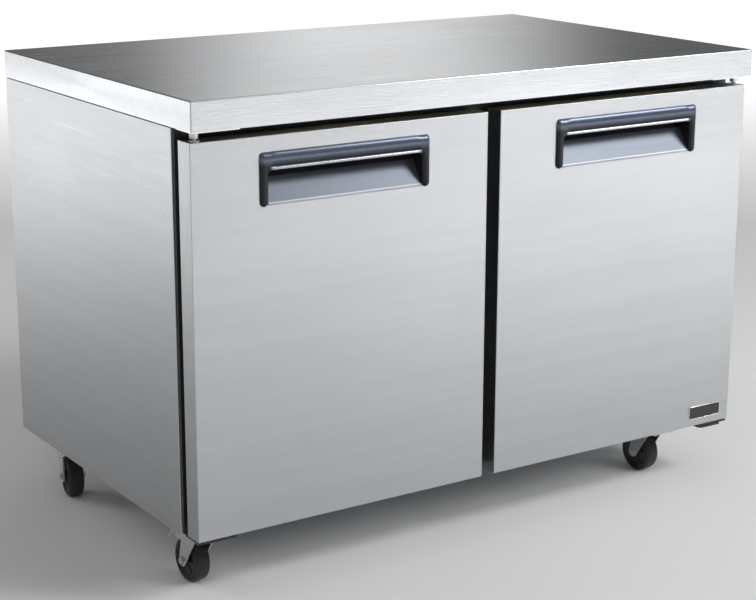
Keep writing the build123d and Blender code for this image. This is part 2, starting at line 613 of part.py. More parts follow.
Z_PORT = Z_SHELL_LOW + 100
Z_DOME = Z_SHELL_LOW + 156
COND_ROWS = [(COND_Z[0] + COND_Z[1]) / 2 + 36 * (row - 2.5) for row in range(6)]
EVAP_ROWS = [(COIL_Z[0] + COIL_Z[1]) / 2 + 30 * (row - 1.5) for row in range(4)]
X_EVAP_END = COIL_X[1] + 12
X_COND_END = COND_X[0] - 12
Y_COND_TUBES = ((COND_Y[0] + COND_Y[1]) / 2 - 8.5, (COND_Y[0] + COND_Y[1]) / 2 + 8.5)
X_LIQUID_RISER = X_COND_END - 26
Z_SUCTION_RUN = 378.0
suction_line = tube(
    [
        (COMPRESSOR_AT[0] + COMPRESSOR_R, COMPRESSOR_AT[1], Z_PORT),
        (COMPRESSOR_AT[0] + COMPRESSOR_R + 34, COMPRESSOR_AT[1], Z_PORT),
        (COMPRESSOR_AT[0] + COMPRESSOR_R + 34, COMPRESSOR_AT[1], Z_SUCTION_RUN),
        (*SUCTION_AT, Z_SUCTION_RUN),
        (*SUCTION_AT, EVAP_ROWS[3]),
        (X_EVAP_END, SUCTION_AT[1], EVAP_ROWS[3]),
    ],
    5.0, [20, 20, 18, 9],
)
discharge_line = tube(
    [
        (COMPRESSOR_AT[0] + 18, COMPRESSOR_AT[1], Z_DOME),
        (COMPRESSOR_AT[0] + 18, COMPRESSOR_AT[1], Z_DOME + 72),
        (X_COND_END - 18, Y_COND_TUBES[0], Z_DOME + 72),
        (X_COND_END - 18, Y_COND_TUBES[0], COND_ROWS[-1]),
        (X_COND_END, Y_COND_TUBES[0], COND_ROWS[-1]),
    ],
    4.0, [18, 14, 12],
)
liquid_line = tube(
    [
        (X_COND_END, Y_COND_TUBES[1], COND_ROWS[0]),
        (X_LIQUID_RISER, Y_COND_TUBES[1], COND_ROWS[0]),
        (X_LIQUID_RISER, Y_COND_TUBES[1], Z_SUCTION_RUN + 14),
        (*LIQUID_AT, Z_SUCTION_RUN + 14),
        (*LIQUID_AT, EVAP_ROWS[0]),
        (X_EVAP_END, LIQUID_AT[1], EVAP_ROWS[0]),
    ],
    3.5, [12, 12, 12, 9],
)
with BuildPart() as refrigerant_pipes:
    add(suction_line)
    add(discharge_line)
    add(liquid_line)
    rod((X_LIQUID_RISER, Y_COND_TUBES[1], 200), (X_LIQUID_RISER, Y_COND_TUBES[1], 290), 12)
save(refrigerant_pipes, "refrigerant_pipes")

with BuildPart() as electrical_box:
    block((-545, -440), (296, 366), (Z_FOAM_LOW, 235))
    fillet(electrical_box.edges().filter_by(Axis.Z), 4)
    block((-548, -437), (293, 368), (235, 239))
save(electrical_box, "electrical_box")

with BuildPart() as cord_gland:
    x, z = GLAND_AT
    rod((x, Y_FOAM_REAR - 8, z), (x, Y_BACK, z), GLAND_R)
    rod((x, Y_FOAM_REAR - 4, z), (x, Y_FOAM_REAR, z), GLAND_R + 5)
    rod((x, Y_FOAM_REAR - 9, z), (x, Y_BACK + 1, z), 5, mode=Mode.SUBTRACT)
save(cord_gland, "cord_gland")

# ---- Doors -------------------------------------------------------------------------------------
Z_DOOR = (Z_DOOR_LOW, Z_DOOR_TOP)
Y_PANEL = Y_DOOR_BACK - DOOR_SHEET
PANEL_RIM = 50.0
PANEL_RISE = 6.0
Y_POCKET = Y_DOOR + POCKET_DEPTH
Z_RAMP_TOP = Z_PULL_TOP - 38.0
HOLE_HALF = POCKET_HALF + PULL_WALL


def inset(span, amount):
    """Span shortened by the same amount at both ends."""
    return (span[0] + amount, span[1] - amount)


def bush_holes(side):
    """Bores in a door for its two hinge bushes."""
    x = side * X_HINGE
    rod((x, Y_HINGE, Z_DOOR_TOP - BUSH_DEPTH), (x, Y_HINGE, Z_DOOR_TOP + 1), BUSH_R, mode=Mode.SUBTRACT)
    rod((x, Y_HINGE, Z_DOOR_LOW - 1), (x, Y_HINGE, Z_DOOR_LOW + BUSH_DEPTH), BUSH_R, mode=Mode.SUBTRACT)


for side, name in ((-1, "left"), (1, "right")):
    door_x = sided(side, X_DOOR_IN, X_DOOR_OUT)
    middle = side * X_DOOR_MID
    pocket_plane = Plane((middle - HOLE_HALF, 0, 0), x_dir=(0, 1, 0), z_dir=(1, 0, 0))

    with BuildPart() as pocket_form:
        with BuildSketch(pocket_plane):
            Polygon(
                (Y_DOOR, Z_PULL_LOW + 2), (Y_DOOR, Z_PULL_TOP - 4),
                (Y_POCKET + PULL_WALL, Z_PULL_TOP - 4), (Y_POCKET + PULL_WALL, Z_RAMP_TOP),
                align=None,
            )
        extrude(amount=2 * HOLE_HALF)

    with BuildPart() as door_skin:
        block(door_x, (Y_DOOR, Y_DOOR_BACK), Z_DOOR)
        fillet(door_skin.faces().sort_by(Axis.Y)[0].edges(), 1.4)
        block(inset(door_x, DOOR_SHEET), (Y_DOOR + DOOR_SHEET, Y_PANEL), inset(Z_DOOR, DOOR_SHEET),
              mode=Mode.SUBTRACT)
        block(inset(door_x, DOOR_RETURN), (Y_PANEL, Y_DOOR_BACK), inset(Z_DOOR, DOOR_RETURN),
              mode=Mode.SUBTRACT)
        add(pocket_form.part, mode=Mode.SUBTRACT)
        bush_holes(side)
    save(door_skin, f"{name}_door_skin")

    with BuildPart() as door_insulation:
        block(inset(door_x, DOOR_SHEET), (Y_DOOR + DOOR_SHEET, Y_PANEL), inset(Z_DOOR, DOOR_SHEET))
        block(inset(door_x, PANEL_RIM + 1), (Y_PANEL, Y_DOOR_BACK), inset(Z_DOOR, PANEL_RIM + 1))
        block(inset(door_x, PANEL_RIM + 4), (Y_DOOR_BACK, Y_DOOR_BACK + PANEL_RISE - 1),
              inset(Z_DOOR, PANEL_RIM + 4))
        add(pocket_form.part, mode=Mode.SUBTRACT)
        bush_holes(side)
    save(door_insulation, f"{name}_door_insulation")

    with BuildPart() as door_inner_panel:
        block(inset(door_x, DOOR_RETURN), (Y_PANEL, Y_DOOR_BACK), inset(Z_DOOR, DOOR_RETURN))
        block(inset(door_x, PANEL_RIM), (Y_PANEL, Y_DOOR_BACK + PANEL_RISE), inset(Z_DOOR, PANEL_RIM))
        chamfer(door_inner_panel.faces().sort_by(Axis.Y)[-1].edges(), 3)
        block(inset(door_x, PANEL_RIM + 1), (Y_PANEL, Y_DOOR_BACK), inset(Z_DOOR, PANEL_RIM + 1),
              mode=Mode.SUBTRACT)
        block(inset(door_x, PANEL_RIM + 4), (Y_PANEL, Y_DOOR_BACK + PANEL_RISE - 1),
              inset(Z_DOOR, PANEL_RIM + 4), mode=Mode.SUBTRACT)
    save(door_inner_panel, f"{name}_door_inner_panel")

    with BuildPart() as door_gasket:
        frame(door_x, Z_DOOR, (Y_DOOR_BACK, Y_DOOR_BACK + 3), GASKET_INSET + 2, GASKET_WIDTH - 4)
        frame(door_x, Z_DOOR, (Y_DOOR_BACK + 3, Y_DOOR_BACK + 8), GASKET_INSET + 6, GASKET_WIDTH - 12)
        frame(door_x, Z_DOOR, (Y_DOOR_BACK + 8, Y_GASKET), GASKET_INSET, GASKET_WIDTH)
    save(door_gasket, f"{name}_door_gasket")

    with BuildPart() as pull:
        with BuildSketch(Plane((middle, Y_DOOR, Z_PULL_LOW), x_dir=(1, 0, 0), z_dir=(0, -1, 0))) as arch:
            with Locations((0, PULL_HEIGHT / 2)):
                Rectangle(PULL_WIDTH, PULL_HEIGHT)
            with Locations((0, (PULL_HEIGHT - PULL_BAR) / 2)):
                Rectangle(2 * POCKET_HALF, PULL_HEIGHT - PULL_BAR, mode=Mode.SUBTRACT)
            corners = arch.vertices().group_by(Axis.Y)
            fillet(corners[0], 7.0)
            fillet(arch.vertices().group_by(Axis.Y)[-1].sort_by(Axis.X)[0:1], 6.0)
            fillet(arch.vertices().group_by(Axis.Y)[-1].sort_by(Axis.X)[-1:], 6.0)
        extrude(amount=PULL_PROUD)
        front_edges = pull.faces().sort_by(Axis.Y)[0].edges()
        fillet(front_edges, 2.5)
        add(pocket_form.part)
        with BuildSketch(Plane((middle - POCKET_HALF, 0, 0), x_dir=(0, 1, 0), z_dir=(1, 0, 0))):
            Polygon(
                (Y_DOOR, Z_PULL_LOW + 5), (Y_POCKET, Z_RAMP_TOP), (Y_POCKET, Z_PULL_TOP - 6),
                (Y_DOOR + PULL_WALL, Z_PULL_TOP - 6), (Y_DOOR + PULL_WALL, Z_PULL_TOP - PULL_BAR),
                (Y_DOOR, Z_PULL_TOP - PULL_BAR), align=None,
            )
        extrude(amount=2 * POCKET_HALF, mode=Mode.SUBTRACT)
    save(pull, f"{name}_door_pull")

    with BuildPart() as hinge_bushes:
        x = side * X_HINGE
        top, low = Z_DOOR_TOP, Z_DOOR_LOW
        rod((x, Y_HINGE, top - BUSH_DEPTH), (x, Y_HINGE, top), BUSH_R)
        rod((x, Y_HINGE, top), (x, Y_HINGE, top + 1.5), BUSH_FLANGE_R)
        rod((x, Y_HINGE, low), (x, Y_HINGE, low + BUSH_DEPTH), BUSH_R)
        rod((x, Y_HINGE, Z_LOW_PLATE + 0.3), (x, Y_HINGE, low), BUSH_FLANGE_R)
        rod((x, Y_HINGE, top - 2 * BUSH_DEPTH), (x, Y_HINGE, top + 2), PIN_R + PIN_FIT, mode=Mode.SUBTRACT)
        rod((x, Y_HINGE, low - 4), (x, Y_HINGE, low + 2 * BUSH_DEPTH), PIN_R + PIN_FIT, mode=Mode.SUBTRACT)
    save(hinge_bushes, f"{name}_hinge_bushes")

BADGE_AT = (544.0, 137.0)
with BuildPart() as badge:
    with BuildSketch(Plane((BADGE_AT[0], Y_DOOR, BADGE_AT[1]), x_dir=(1, 0, 0), z_dir=(0, -1, 0))):
        RectangleRounded(84, 27, 3)
    extrude(amount=1.5)
    fillet(badge.faces().sort_by(Axis.Y)[0].edges(), 0.5)
save(badge, "badge")

# ---- Hinges ------------------------------------------------------------------------------------
X_PLATE_OUT = X_DOOR_OUT - 2.0
X_PLATE_IN = X_PLATE_OUT - HINGE_LENGTH
LEG_THICK = 4.0
TOP_SCREWS = ((530.0, -338.0), (552.0, -352.0), (574.0, -334.0))
LOW_SCREWS = (536.0, 566.0)
with BuildPart() as top_hinges:
    for side in (-1, 1):
        block(sided(side, X_PLATE_IN, X_PLATE_OUT), (Y_FRONT + 8, Y_BREAKER - 3), (Z_TOP_PLATE, Z_BAND))
        x = side * X_HINGE
        rod((x, Y_HINGE, Z_DOOR_TOP - BUSH_DEPTH + 2), (x, Y_HINGE, Z_TOP_PLATE), PIN_R)
        rod((x, Y_HINGE, Z_DOOR_TOP + 6), (x, Y_HINGE, Z_TOP_PLATE), PIN_R + 4)
        for screw_x, y in TOP_SCREWS:
            rod((side * screw_x, y, Z_TOP_PLATE - 1), (side * screw_x, y, Z_BAND + 1), 2.6,
                mode=Mode.SUBTRACT)
save(top_hinges, "top_hinges")

with BuildPart() as bottom_hinges:
    for side in (-1, 1):
        plate_x = sided(side, X_PLATE_IN, X_PLATE_OUT)
        corner = min(plate_x, key=abs)
        block(plate_x, (Y_DOOR + 2, Y_BREAKER), (Z_BODY, Z_LOW_PLATE))
        nose = bottom_hinges.edges().filter_by(Axis.Z).group_by(Axis.Y)[0]
        chamfer(nose.sort_by(lambda edge: abs(edge.center().X - corner))[0], 16)
        block(plate_x, (Y_BREAKER - LEG_THICK, Y_BREAKER), (Z_BODY, Z_BODY + 20))
        x = side * X_HINGE
        rod((x, Y_HINGE, Z_LOW_PLATE), (x, Y_HINGE, Z_DOOR_LOW + BUSH_DEPTH - 2), PIN_R)
        for screw_x in LOW_SCREWS:
            rod((side * screw_x, Y_BREAKER - LEG_THICK - 1, Z_BODY + 12),
                (side * screw_x, Y_BREAKER + 1, Z_BODY + 12), 2.6, mode=Mode.SUBTRACT)
    with BuildSketch(Plane.XZ.offset(-Y_DOOR - 16)):
        with BuildLine():
            Polyline((X_PLATE_OUT - 3, Z_BODY), (X_PLATE_OUT - 3, Z_BODY - 11), (562, Z_BODY - 11))
            RadiusArc((562, Z_BODY - 11), (530, Z_BODY), 52)
            Line((530, Z_BODY), (X_PLATE_OUT - 3, Z_BODY))
        make_face()
    extrude(amount=-80)
save(bottom_hinges, "bottom_hinges")

# ---- Casters -----------------------------------------------------------------------------------
BOLT_X = 21.0
BOLT_Y = 32.0
KING_HEAD = (83.0, Z_CROWN - CROWN - 0.3)
with BuildPart() as caster_mounts:
    for x in (LEFT_CASTER_X, RIGHT_CASTER_X):
        block((x - PLATE_X / 2, x + PLATE_X / 2), (FRONT_CASTER_Y - 44, REAR_CASTER_Y + 44), (Z_RAIL, Z_BODY))
        for y in (FRONT_CASTER_Y, REAR_CASTER_Y):
            block((x - PLATE_X / 2 + 0.5, x + PLATE_X / 2 - 0.5), (y - PLATE_Y / 2, y + PLATE_Y / 2),
                  (Z_PLATE, Z_RAIL))
            rod((x, y, Z_RACE), (x, y, Z_PLATE), RACE_R)
            rod((x, y, KING_HEAD[0]), (x, y, Z_RACE), KINGPIN_R)
            rod((x, y, KING_HEAD[0]), (x, y, KING_HEAD[1]), KINGPIN_R + 4)
            with Locations((x, y, (Z_PLATE + Z_BODY) / 2)):
                with GridLocations(2 * BOLT_X, 2 * BOLT_Y, 2, 2):
                    Cylinder(3.2, Z_BODY - Z_PLATE, mode=Mode.SUBTRACT)
save(caster_mounts, "caster_mounts")

PEDAL_PIVOT = (50.0, 84.0)
PEDAL_PIN_R = 3.0
PEDAL_HALF = 14.0
BARREL_HALF = FORK_IN - 0.4
for name, (x, y, heading, braked) in CASTERS.items():
    trail = Vector(cos(radians(heading)), sin(radians(heading)), 0)
    axle = Vector(trail.Y, -trail.X, 0)
    axle_at = Vector(x, y, WHEEL_R) + trail * TRAIL
    pivot_at = Vector(x, y, PEDAL_PIVOT[1]) + trail * PEDAL_PIVOT[0]

    with BuildPart() as fork:
        for inner in (FORK_IN, -FORK_IN - FORK_LEG):
            with BuildSketch(Plane(Vector(x, y, 0) + axle * inner, x_dir=trail, z_dir=axle)):
                with Locations((TRAIL, WHEEL_R)):
                    Circle(11)
                with Locations((11, Z_CROWN - 1.5)):
                    Rectangle(44, 3)
                make_hull()
                if braked:
                    with Locations(PEDAL_PIVOT):
                        Circle(6.5)
                    with Locations((PEDAL_PIVOT[0] - 14, PEDAL_PIVOT[1])):
                        Rectangle(28, 13)
            extrude(amount=FORK_LEG)
        with Locations(Plane((x, y, Z_CROWN - CROWN / 2), x_dir=trail)):
            Cylinder(21, CROWN)
            with Locations((11, 0, 0)):
                Box(44, 2 * FORK_IN + 2 * FORK_LEG, CROWN)
        rod((x, y, Z_CROWN - 2 * CROWN), (x, y, Z_CROWN + 1), KINGPIN_R + PIN_FIT, mode=Mode.SUBTRACT)
        reach = axle * (FORK_IN + FORK_LEG + 1)
        rod(axle_at - reach, axle_at + reach, AXLE_R + 0.05, mode=Mode.SUBTRACT)
        if braked:
            span = axle * (FORK_IN + FORK_LEG)
            rod(pivot_at - span, pivot_at + span, PEDAL_PIN_R)
    with BuildPart() as bolt:
        reach = axle * (FORK_IN + FORK_LEG)
        rod(axle_at - reach * 1.25, axle_at + reach * 1.25, AXLE_R)
        for end in (-1, 1):
            with BuildSketch(Plane(axle_at + reach * end, z_dir=axle * end)):
                RegularPolygon(7.0, 6)
            extrude(amount=4.0)
    fork_group = Compound(children=[fork.part, bolt.part])
    fork_group.label = f"caster_{name}_fork"
    export_step(fork_group, f"parts/caster_{name}_fork.step")

    with BuildPart() as wheel:
        with Locations(Plane(axle_at, x_dir=trail, z_dir=axle)):
            Cylinder(WHEEL_R, 2 * WHEEL_HALF)
            fillet(wheel.edges().filter_by(GeomType.CIRCLE), 4)
        for end in (-1, 1):
            with BuildSketch(Plane(axle_at + axle * (end * WHEEL_HALF), z_dir=axle * end)):
                Circle(27)
                Circle(13, mode=Mode.SUBTRACT)
            extrude(amount=-4, mode=Mode.SUBTRACT)
        hub = axle * (FORK_IN - 0.4)
        rod(axle_at - hub, axle_at + hub, 9)
        rod(axle_at - hub * 2, axle_at + hub * 2, AXLE_R + PIN_FIT, mode=Mode.SUBTRACT)
    save(wheel, f"caster_{name}_wheel")

    if braked:
        with BuildPart() as pedal:
            with BuildSketch(Plane(Vector(x, y, 0) - axle * PEDAL_HALF, x_dir=trail, z_dir=axle)):
                with BuildLine():
                    FilletPolyline(PEDAL_PIVOT, (70, 84), (86, 74), (94, 62), radius=9)
                trace(line_width=2.6)
            extrude(amount=2 * PEDAL_HALF)
            rod(pivot_at - axle * BARREL_HALF, pivot_at + axle * BARREL_HALF, 5.2)
            rod(pivot_at - axle * FORK_IN, pivot_at + axle * FORK_IN, PEDAL_PIN_R + PIN_FIT,
                mode=Mode.SUBTRACT)
        save(pedal, f"caster_{name}_pedal")

# ---- Fasteners ---------------------------------------------------------------------------------
with BuildPart() as cabinet_screws:
    for side in (-1, 1):
        for screw_x, y in TOP_SCREWS:
            screw((side * screw_x, y, Z_TOP_PLATE), (0, 0, 1), 5, 3, 2.5, TOP_PLATE)
        for screw_x in LOW_SCREWS:
            screw((side * screw_x, Y_BREAKER - LEG_THICK, Z_BODY + 12), (0, 1, 0), 5, 2.6, 2.5, LEG_THICK)
        for z in (Z_BODY + 20, Z_GRILLE_TOP - 14, Z_GRILLE_TOP + 14, Z_SHELL_TOP - 20):
            screw((side * (X_BETWEEN - 10), Y_BACK, z), (0, -1, 0), 4.5, 1.8, 2, 0)
    for x in (LEFT_CASTER_X, RIGHT_CASTER_X):
        for y in (FRONT_CASTER_Y, REAR_CASTER_Y):
            with Locations((x, y, Z_PLATE - 1.7)):
                with GridLocations(2 * BOLT_X, 2 * BOLT_Y, 2, 2):
                    Cylinder(6, 3.4)
            with Locations((x, y, (Z_PLATE + Z_BODY) / 2)):
                with GridLocations(2 * BOLT_X, 2 * BOLT_Y, 2, 2):
                    Cylinder(3, Z_BODY - Z_PLATE)
save(cabinet_screws, "cabinet_screws")
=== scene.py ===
"""Looks of a two-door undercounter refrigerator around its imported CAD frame.

Lengths in the tables are millimetres in the row frame; meshes are made in metres.
"""

from math import cos, hypot, pi, radians, sin, sqrt

import bmesh
import bpy
from mathutils import Matrix, Vector


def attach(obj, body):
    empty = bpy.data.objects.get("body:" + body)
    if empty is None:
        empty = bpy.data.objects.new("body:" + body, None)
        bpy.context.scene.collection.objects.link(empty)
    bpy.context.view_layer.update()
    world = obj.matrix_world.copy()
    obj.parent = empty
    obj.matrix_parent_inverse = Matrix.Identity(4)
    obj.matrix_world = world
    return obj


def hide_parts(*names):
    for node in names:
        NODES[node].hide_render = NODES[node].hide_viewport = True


MM = 0.001
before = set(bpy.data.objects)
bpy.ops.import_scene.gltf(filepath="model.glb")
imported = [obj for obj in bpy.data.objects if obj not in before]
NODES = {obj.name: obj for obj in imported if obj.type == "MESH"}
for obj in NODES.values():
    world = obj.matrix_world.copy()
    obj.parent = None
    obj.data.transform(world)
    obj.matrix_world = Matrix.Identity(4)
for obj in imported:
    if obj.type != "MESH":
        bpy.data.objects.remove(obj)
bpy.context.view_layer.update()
SCENE = bpy.context.scene
SIDES = {"left": -1, "right": 1}
DOOR_MID = 311.5
DOOR_FACE = -368.0
DOOR_EDGES, DOOR_ENDS = (14.0, 609.0), (109.0, 794.0)
PULL = {"half": 170.0, "top": 767.0, "low": 675.0, "bar": 736.0, "inner": 154.0, "proud": 6.9,
        "corner": 7.0, "fillet": 9.0, "tip": 8.0}
BEAD_HALF, BEAD_FADE = 152.0, 6.0


# ---- Camera ---------------------------------------------------------------------------------
CAMERA_AT = (-1.94416, -2.93683, 1.30586)
CAMERA_YAW, CAMERA_PITCH, CAMERA_ROLL = radians(33.448), radians(14.956), radians(0.137)
LENS, SENSOR = 86.9605, 36.0


def add_camera():
    """Camera at the photograph's viewing angle: yaw is clockwise from +Y, pitch is downwards."""
    flat = cos(CAMERA_PITCH)
    ahead = Vector((sin(CAMERA_YAW) * flat, cos(CAMERA_YAW) * flat, -sin(CAMERA_PITCH)))
    level = Vector((cos(CAMERA_YAW), -sin(CAMERA_YAW), 0))
    above = level.cross(ahead)
    right = level * cos(CAMERA_ROLL) + above * sin(CAMERA_ROLL)
    up = above * cos(CAMERA_ROLL) - level * sin(CAMERA_ROLL)
    data = bpy.data.cameras.new("camera")
    data.sensor_width, data.lens, data.clip_end = SENSOR, LENS, 200.0
    camera = bpy.data.objects.new("camera", data)
    turn = Matrix((right, up, -ahead)).transposed()
    camera.matrix_world = Matrix.Translation(CAMERA_AT) @ turn.to_4x4()
    SCENE.collection.objects.link(camera)
    SCENE.camera = camera


# ---- Material building ------------------------------------------------------------------------
class Shader:
    """A Principled material and short ways to add nodes to it."""

    def __init__(self, name, metallic=0.0, **fixed):
        self.material = bpy.data.materials.new(name)
        self.material.use_nodes = True
        self.nodes = self.material.node_tree.nodes
        self.links = self.material.node_tree.links
        self.bsdf = self.nodes["Principled BSDF"]
        self.bsdf.inputs["Metallic"].default_value = metallic
        for socket, value in fixed.items():
            self.bsdf.inputs[socket.replace("_", " ")].default_value = value
        self.place = self.nodes.new("ShaderNodeTexCoord").outputs["Object"]

    def across(self, axis):
        """One coordinate of the object, in metres."""
        node = self.nodes.new("ShaderNodeSeparateXYZ")
        self.links.new(self.place, node.inputs["Vector"])
        return node.outputs[axis]

    def put(self, socket, value):
        """Link an output, or set a number or colour, on a node's socket."""
        if isinstance(value, bpy.types.NodeSocket):
            self.links.new(value, socket)
        elif isinstance(value, tuple):
            socket.default_value = (*value, 1.0)
        else:
            socket.default_value = value

    def noise(self, stretch, detail=2.0, roughness=0.5):
        """Noise with its own frequency on each axis, per metre."""
        mapping = self.nodes.new("ShaderNodeMapping")
        mapping.inputs["Scale"].default_value = stretch
        self.links.new(self.place, mapping.inputs["Vector"])
        node = self.nodes.new("ShaderNodeTexNoise")
        node.inputs["Scale"].default_value = 1.0
        node.inputs["Detail"].default_value = detail
        node.inputs["Roughness"].default_value = roughness
        self.links.new(mapping.outputs["Vector"], node.inputs["Vector"])
        return node.outputs["Fac"]

    def cells(self, scale):
        """Random value per Voronoi cell."""
        node = self.nodes.new("ShaderNodeTexVoronoi")
        node.inputs["Scale"].default_value = scale
        self.links.new(self.place, node.inputs["Vector"])
        split = self.nodes.new("ShaderNodeSeparateColor")
        self.links.new(node.outputs["Color"], split.inputs["Color"])
        return split.outputs["Red"]

    def span(self, value, low, high, start=0.3, end=0.7):
        """Map a value's useful range onto low to high."""
        node = self.nodes.new("ShaderNodeMapRange")
        self.put(node.inputs["Value"], value)
        for socket, number in (("From Min", start), ("From Max", end), ("To Min", low), ("To Max", high)):
            node.inputs[socket].default_value = number
        return node.outputs["Result"]

    def fade(self, value, start, end):
        """0 to 1 as a coordinate goes from start to end, given in millimetres."""
        return self.span(value, 0.0, 1.0, start * MM, end * MM)

    def maths(self, operation, a, b=0.0):
        node = self.nodes.new("ShaderNodeMath")
        node.operation = operation
        self.put(node.inputs[0], a)
        self.put(node.inputs[1], b)
        return node.outputs["Value"]

    def weighted(self, *pairs):
        """Sum of outputs times their weights."""
        total = None
        for output, weight in pairs:
            part = self.maths("MULTIPLY", output, weight)
            total = self.maths("ADD", total, part) if total else part
        return total

    def vector_maths(self, operation, vector, scale=None):
        node = self.nodes.new("ShaderNodeVectorMath")
        node.operation = operation
        self.links.new(vector, node.inputs[0])
        if scale:
            self.links.new(scale, node.inputs["Scale"])
        return node.outputs["Vector" if scale else "Value"]

    def mix(self, amount, a, b):
        node = self.nodes.new("ShaderNodeMix")
        node.data_type = "RGBA"
        self.put(node.inputs["Factor"], amount)
        self.put(node.inputs["A"], a)
        self.put(node.inputs["B"], b)
        return node.outputs["Result"]

    def bump(self, height, strength, distance):
        node = self.nodes.new("ShaderNodeBump")
        node.inputs["Strength"].default_value = strength
        node.inputs["Distance"].default_value = distance
        self.links.new(height, node.inputs["Height"])
        if self.bsdf.inputs["Normal"].is_linked:
            self.links.new(self.bsdf.inputs["Normal"].links[0].from_socket, node.inputs["Normal"])
        self.links.new(node.outputs["Normal"], self.bsdf.inputs["Normal"])

    def tangent(self, axis):
        node = self.nodes.new("ShaderNodeTangent")
        node.direction_type = "RADIAL"
        node.axis = axis
        self.links.new(node.outputs["Tangent"], self.bsdf.inputs["Tangent"])


def tone(colour, factor):
    return tuple(channel * factor for channel in colour)


def brushed(name, grain, around, turn, colour=(0.56, 0.575, 0.59), rough=0.30, depth=1.0):
    """Brushed sheet metal: grain along one axis, with soft streaks and fine speckle.

    Around is the axis of the radial tangent, and turn rotates the stretched highlight.
    """
    shader = Shader(name, metallic=1.0, Anisotropic=0.55, Anisotropic_Rotation=turn)
    lines = shader.noise(tuple(6.0 if axis == grain else 1100.0 for axis in "xyz"), 3.0, 0.6)
    streaks = shader.noise(tuple(1.3 if axis == grain else 38.0 for axis in "xyz"), 2.0)
    clouds = shader.noise((2.2, 2.2, 2.2), 2.0)
    speckle = shader.noise((520.0, 520.0, 520.0), 1.0)
    mixed = shader.weighted((lines, 0.5), (streaks, 0.28), (speckle, 0.22))
    shader.put(shader.bsdf.inputs["Base Color"],
               shader.mix(shader.span(mixed, 0, 1), tone(colour, 0.90), tone(colour, 1.07)))
    base = shader.span(lines, rough - 0.05, rough + 0.07)
    shader.put(shader.bsdf.inputs["Roughness"],
               shader.maths("ADD", base, shader.span(clouds, -0.02, 0.03)))
    shader.bump(lines, 0.10 * depth, 0.0002)
    shader.bump(speckle, 0.05 * depth, 0.0002)
    shader.tangent(around)
    return shader.material


def plain(name, colour, rough, metallic=0.0, fine=900.0, contrast=0.12, grain=0.1, distance=0.0002, **fixed):
    """Moulded, cast or painted surface with fine grain and slow variation."""
    shader = Shader(name, metallic, **fixed)
    small = shader.noise((fine, fine, fine), 3.0)
    wide = shader.noise((14.0, 14.0, 14.0), 3.0)
    shade = shader.weighted((small, 0.45), (wide, 0.55))
    shader.put(shader.bsdf.inputs["Base Color"],
               shader.mix(shader.span(shade, 0, 1), tone(colour, 1 - contrast), tone(colour, 1 + contrast)))
    shader.put(shader.bsdf.inputs["Roughness"], shader.span(wide, rough - 0.04, rough + 0.06))
    shader.bump(small, grain, distance)
    return shader.material


def plated(name, colour, rough, scale):
    """Zinc plating or galvanising: cell-like spangle over a soft metal."""
    shader = Shader(name, metallic=1.0)
    cell = shader.cells(scale)
    fine = shader.noise((1500.0, 1500.0, 1500.0), 2.0)
    shader.put(shader.bsdf.inputs["Base Color"],
               shader.mix(shader.span(cell, 0, 1, 0, 1), tone(colour, 0.88), tone(colour, 1.08)))
    patchy = shader.span(cell, rough - 0.05, rough + 0.08, 0, 1)
    shader.put(shader.bsdf.inputs["Roughness"], shader.maths("ADD", patchy, shader.span(fine, -0.02, 0.03)))
    shader.bump(fine, 0.08, 0.0002)
    return shader.material


def lined(name, colour, rough, metallic, stretch, strength):
    """Surface with straight parallel drawing or moulding lines."""
    shader = Shader(name, metallic)
    lines = shader.noise(stretch, 2.0)
    wide = shader.noise((9.0, 9.0, 9.0), 2.0)
    shader.put(shader.bsdf.inputs["Base Color"],
               shader.mix(shader.span(lines, 0, 1), tone(colour, 0.90), tone(colour, 1.10)))
    drawn = shader.span(lines, rough - 0.04, rough + 0.05)
    shader.put(shader.bsdf.inputs["Roughness"], shader.maths("ADD", drawn, shader.span(wide, -0.02, 0.03)))
    shader.bump(lines, strength, 0.0002)
    return shader.material


def pull_bar_painted_sheen():
    """Glossy black moulding with painted light: the upper part of the bar is coloured a satin grey-blue as a
    painted reflection, and the rounded lip under the bar between the legs is coloured bright as a painted
    highlight.
    """
    shader = Shader("bar_moulding_painted_sheen", Specular_IOR_Level=0.25)
    height, low = shader.across("Z"), PULL["bar"]
    outward = shader.maths("SUBTRACT", shader.maths("ABSOLUTE", shader.across("X")), DOOR_MID * MM)
    from_middle = shader.maths("ABSOLUTE", outward)
    # Painted reflection: black at 8 mm above the bar's lower edge, turning satin grey-blue by 19 mm and
    # above.
    painted_hood_sheen = shader.fade(height, low + 8.0, low + 19.0)
    # Painted highlight: the rounded lip along the bar's lower edge, up to about 6 mm, is coloured light grey,
    # fading out 146 to 152 mm from the middle, near the legs.
    under, over = shader.fade(height, low - 0.2, low + 0.2), shader.fade(height, low + 6.5, low + 5.5)
    painted_bead_highlight = shader.maths("MULTIPLY", under, over)
    painted_bead_highlight = shader.maths("MULTIPLY", painted_bead_highlight, shader.fade(from_middle, BEAD_HALF, BEAD_HALF - BEAD_FADE))
    small = shader.noise((1400.0, 1400.0, 1400.0), 3.0)
    body = shader.mix(painted_hood_sheen, (0.012, 0.014, 0.018), (0.125, 0.150, 0.200))
    body = shader.mix(painted_bead_highlight, body, (0.50, 0.50, 0.54))
    shader.put(shader.bsdf.inputs["Base Color"],
               shader.vector_maths("SCALE", body, shader.span(small, 0.92, 1.08)))
    # Metallic where the painted reflection and the painted highlight are coloured.
    satin = shader.maths("MULTIPLY", painted_hood_sheen, 0.6)
    shader.put(shader.bsdf.inputs["Metallic"], shader.maths("MAXIMUM", satin, painted_bead_highlight))
    shader.put(shader.bsdf.inputs["Roughness"], shader.span(small, 0.24, 0.32))
    shader.bump(small, 0.04, 0.0002)
    return shader.material


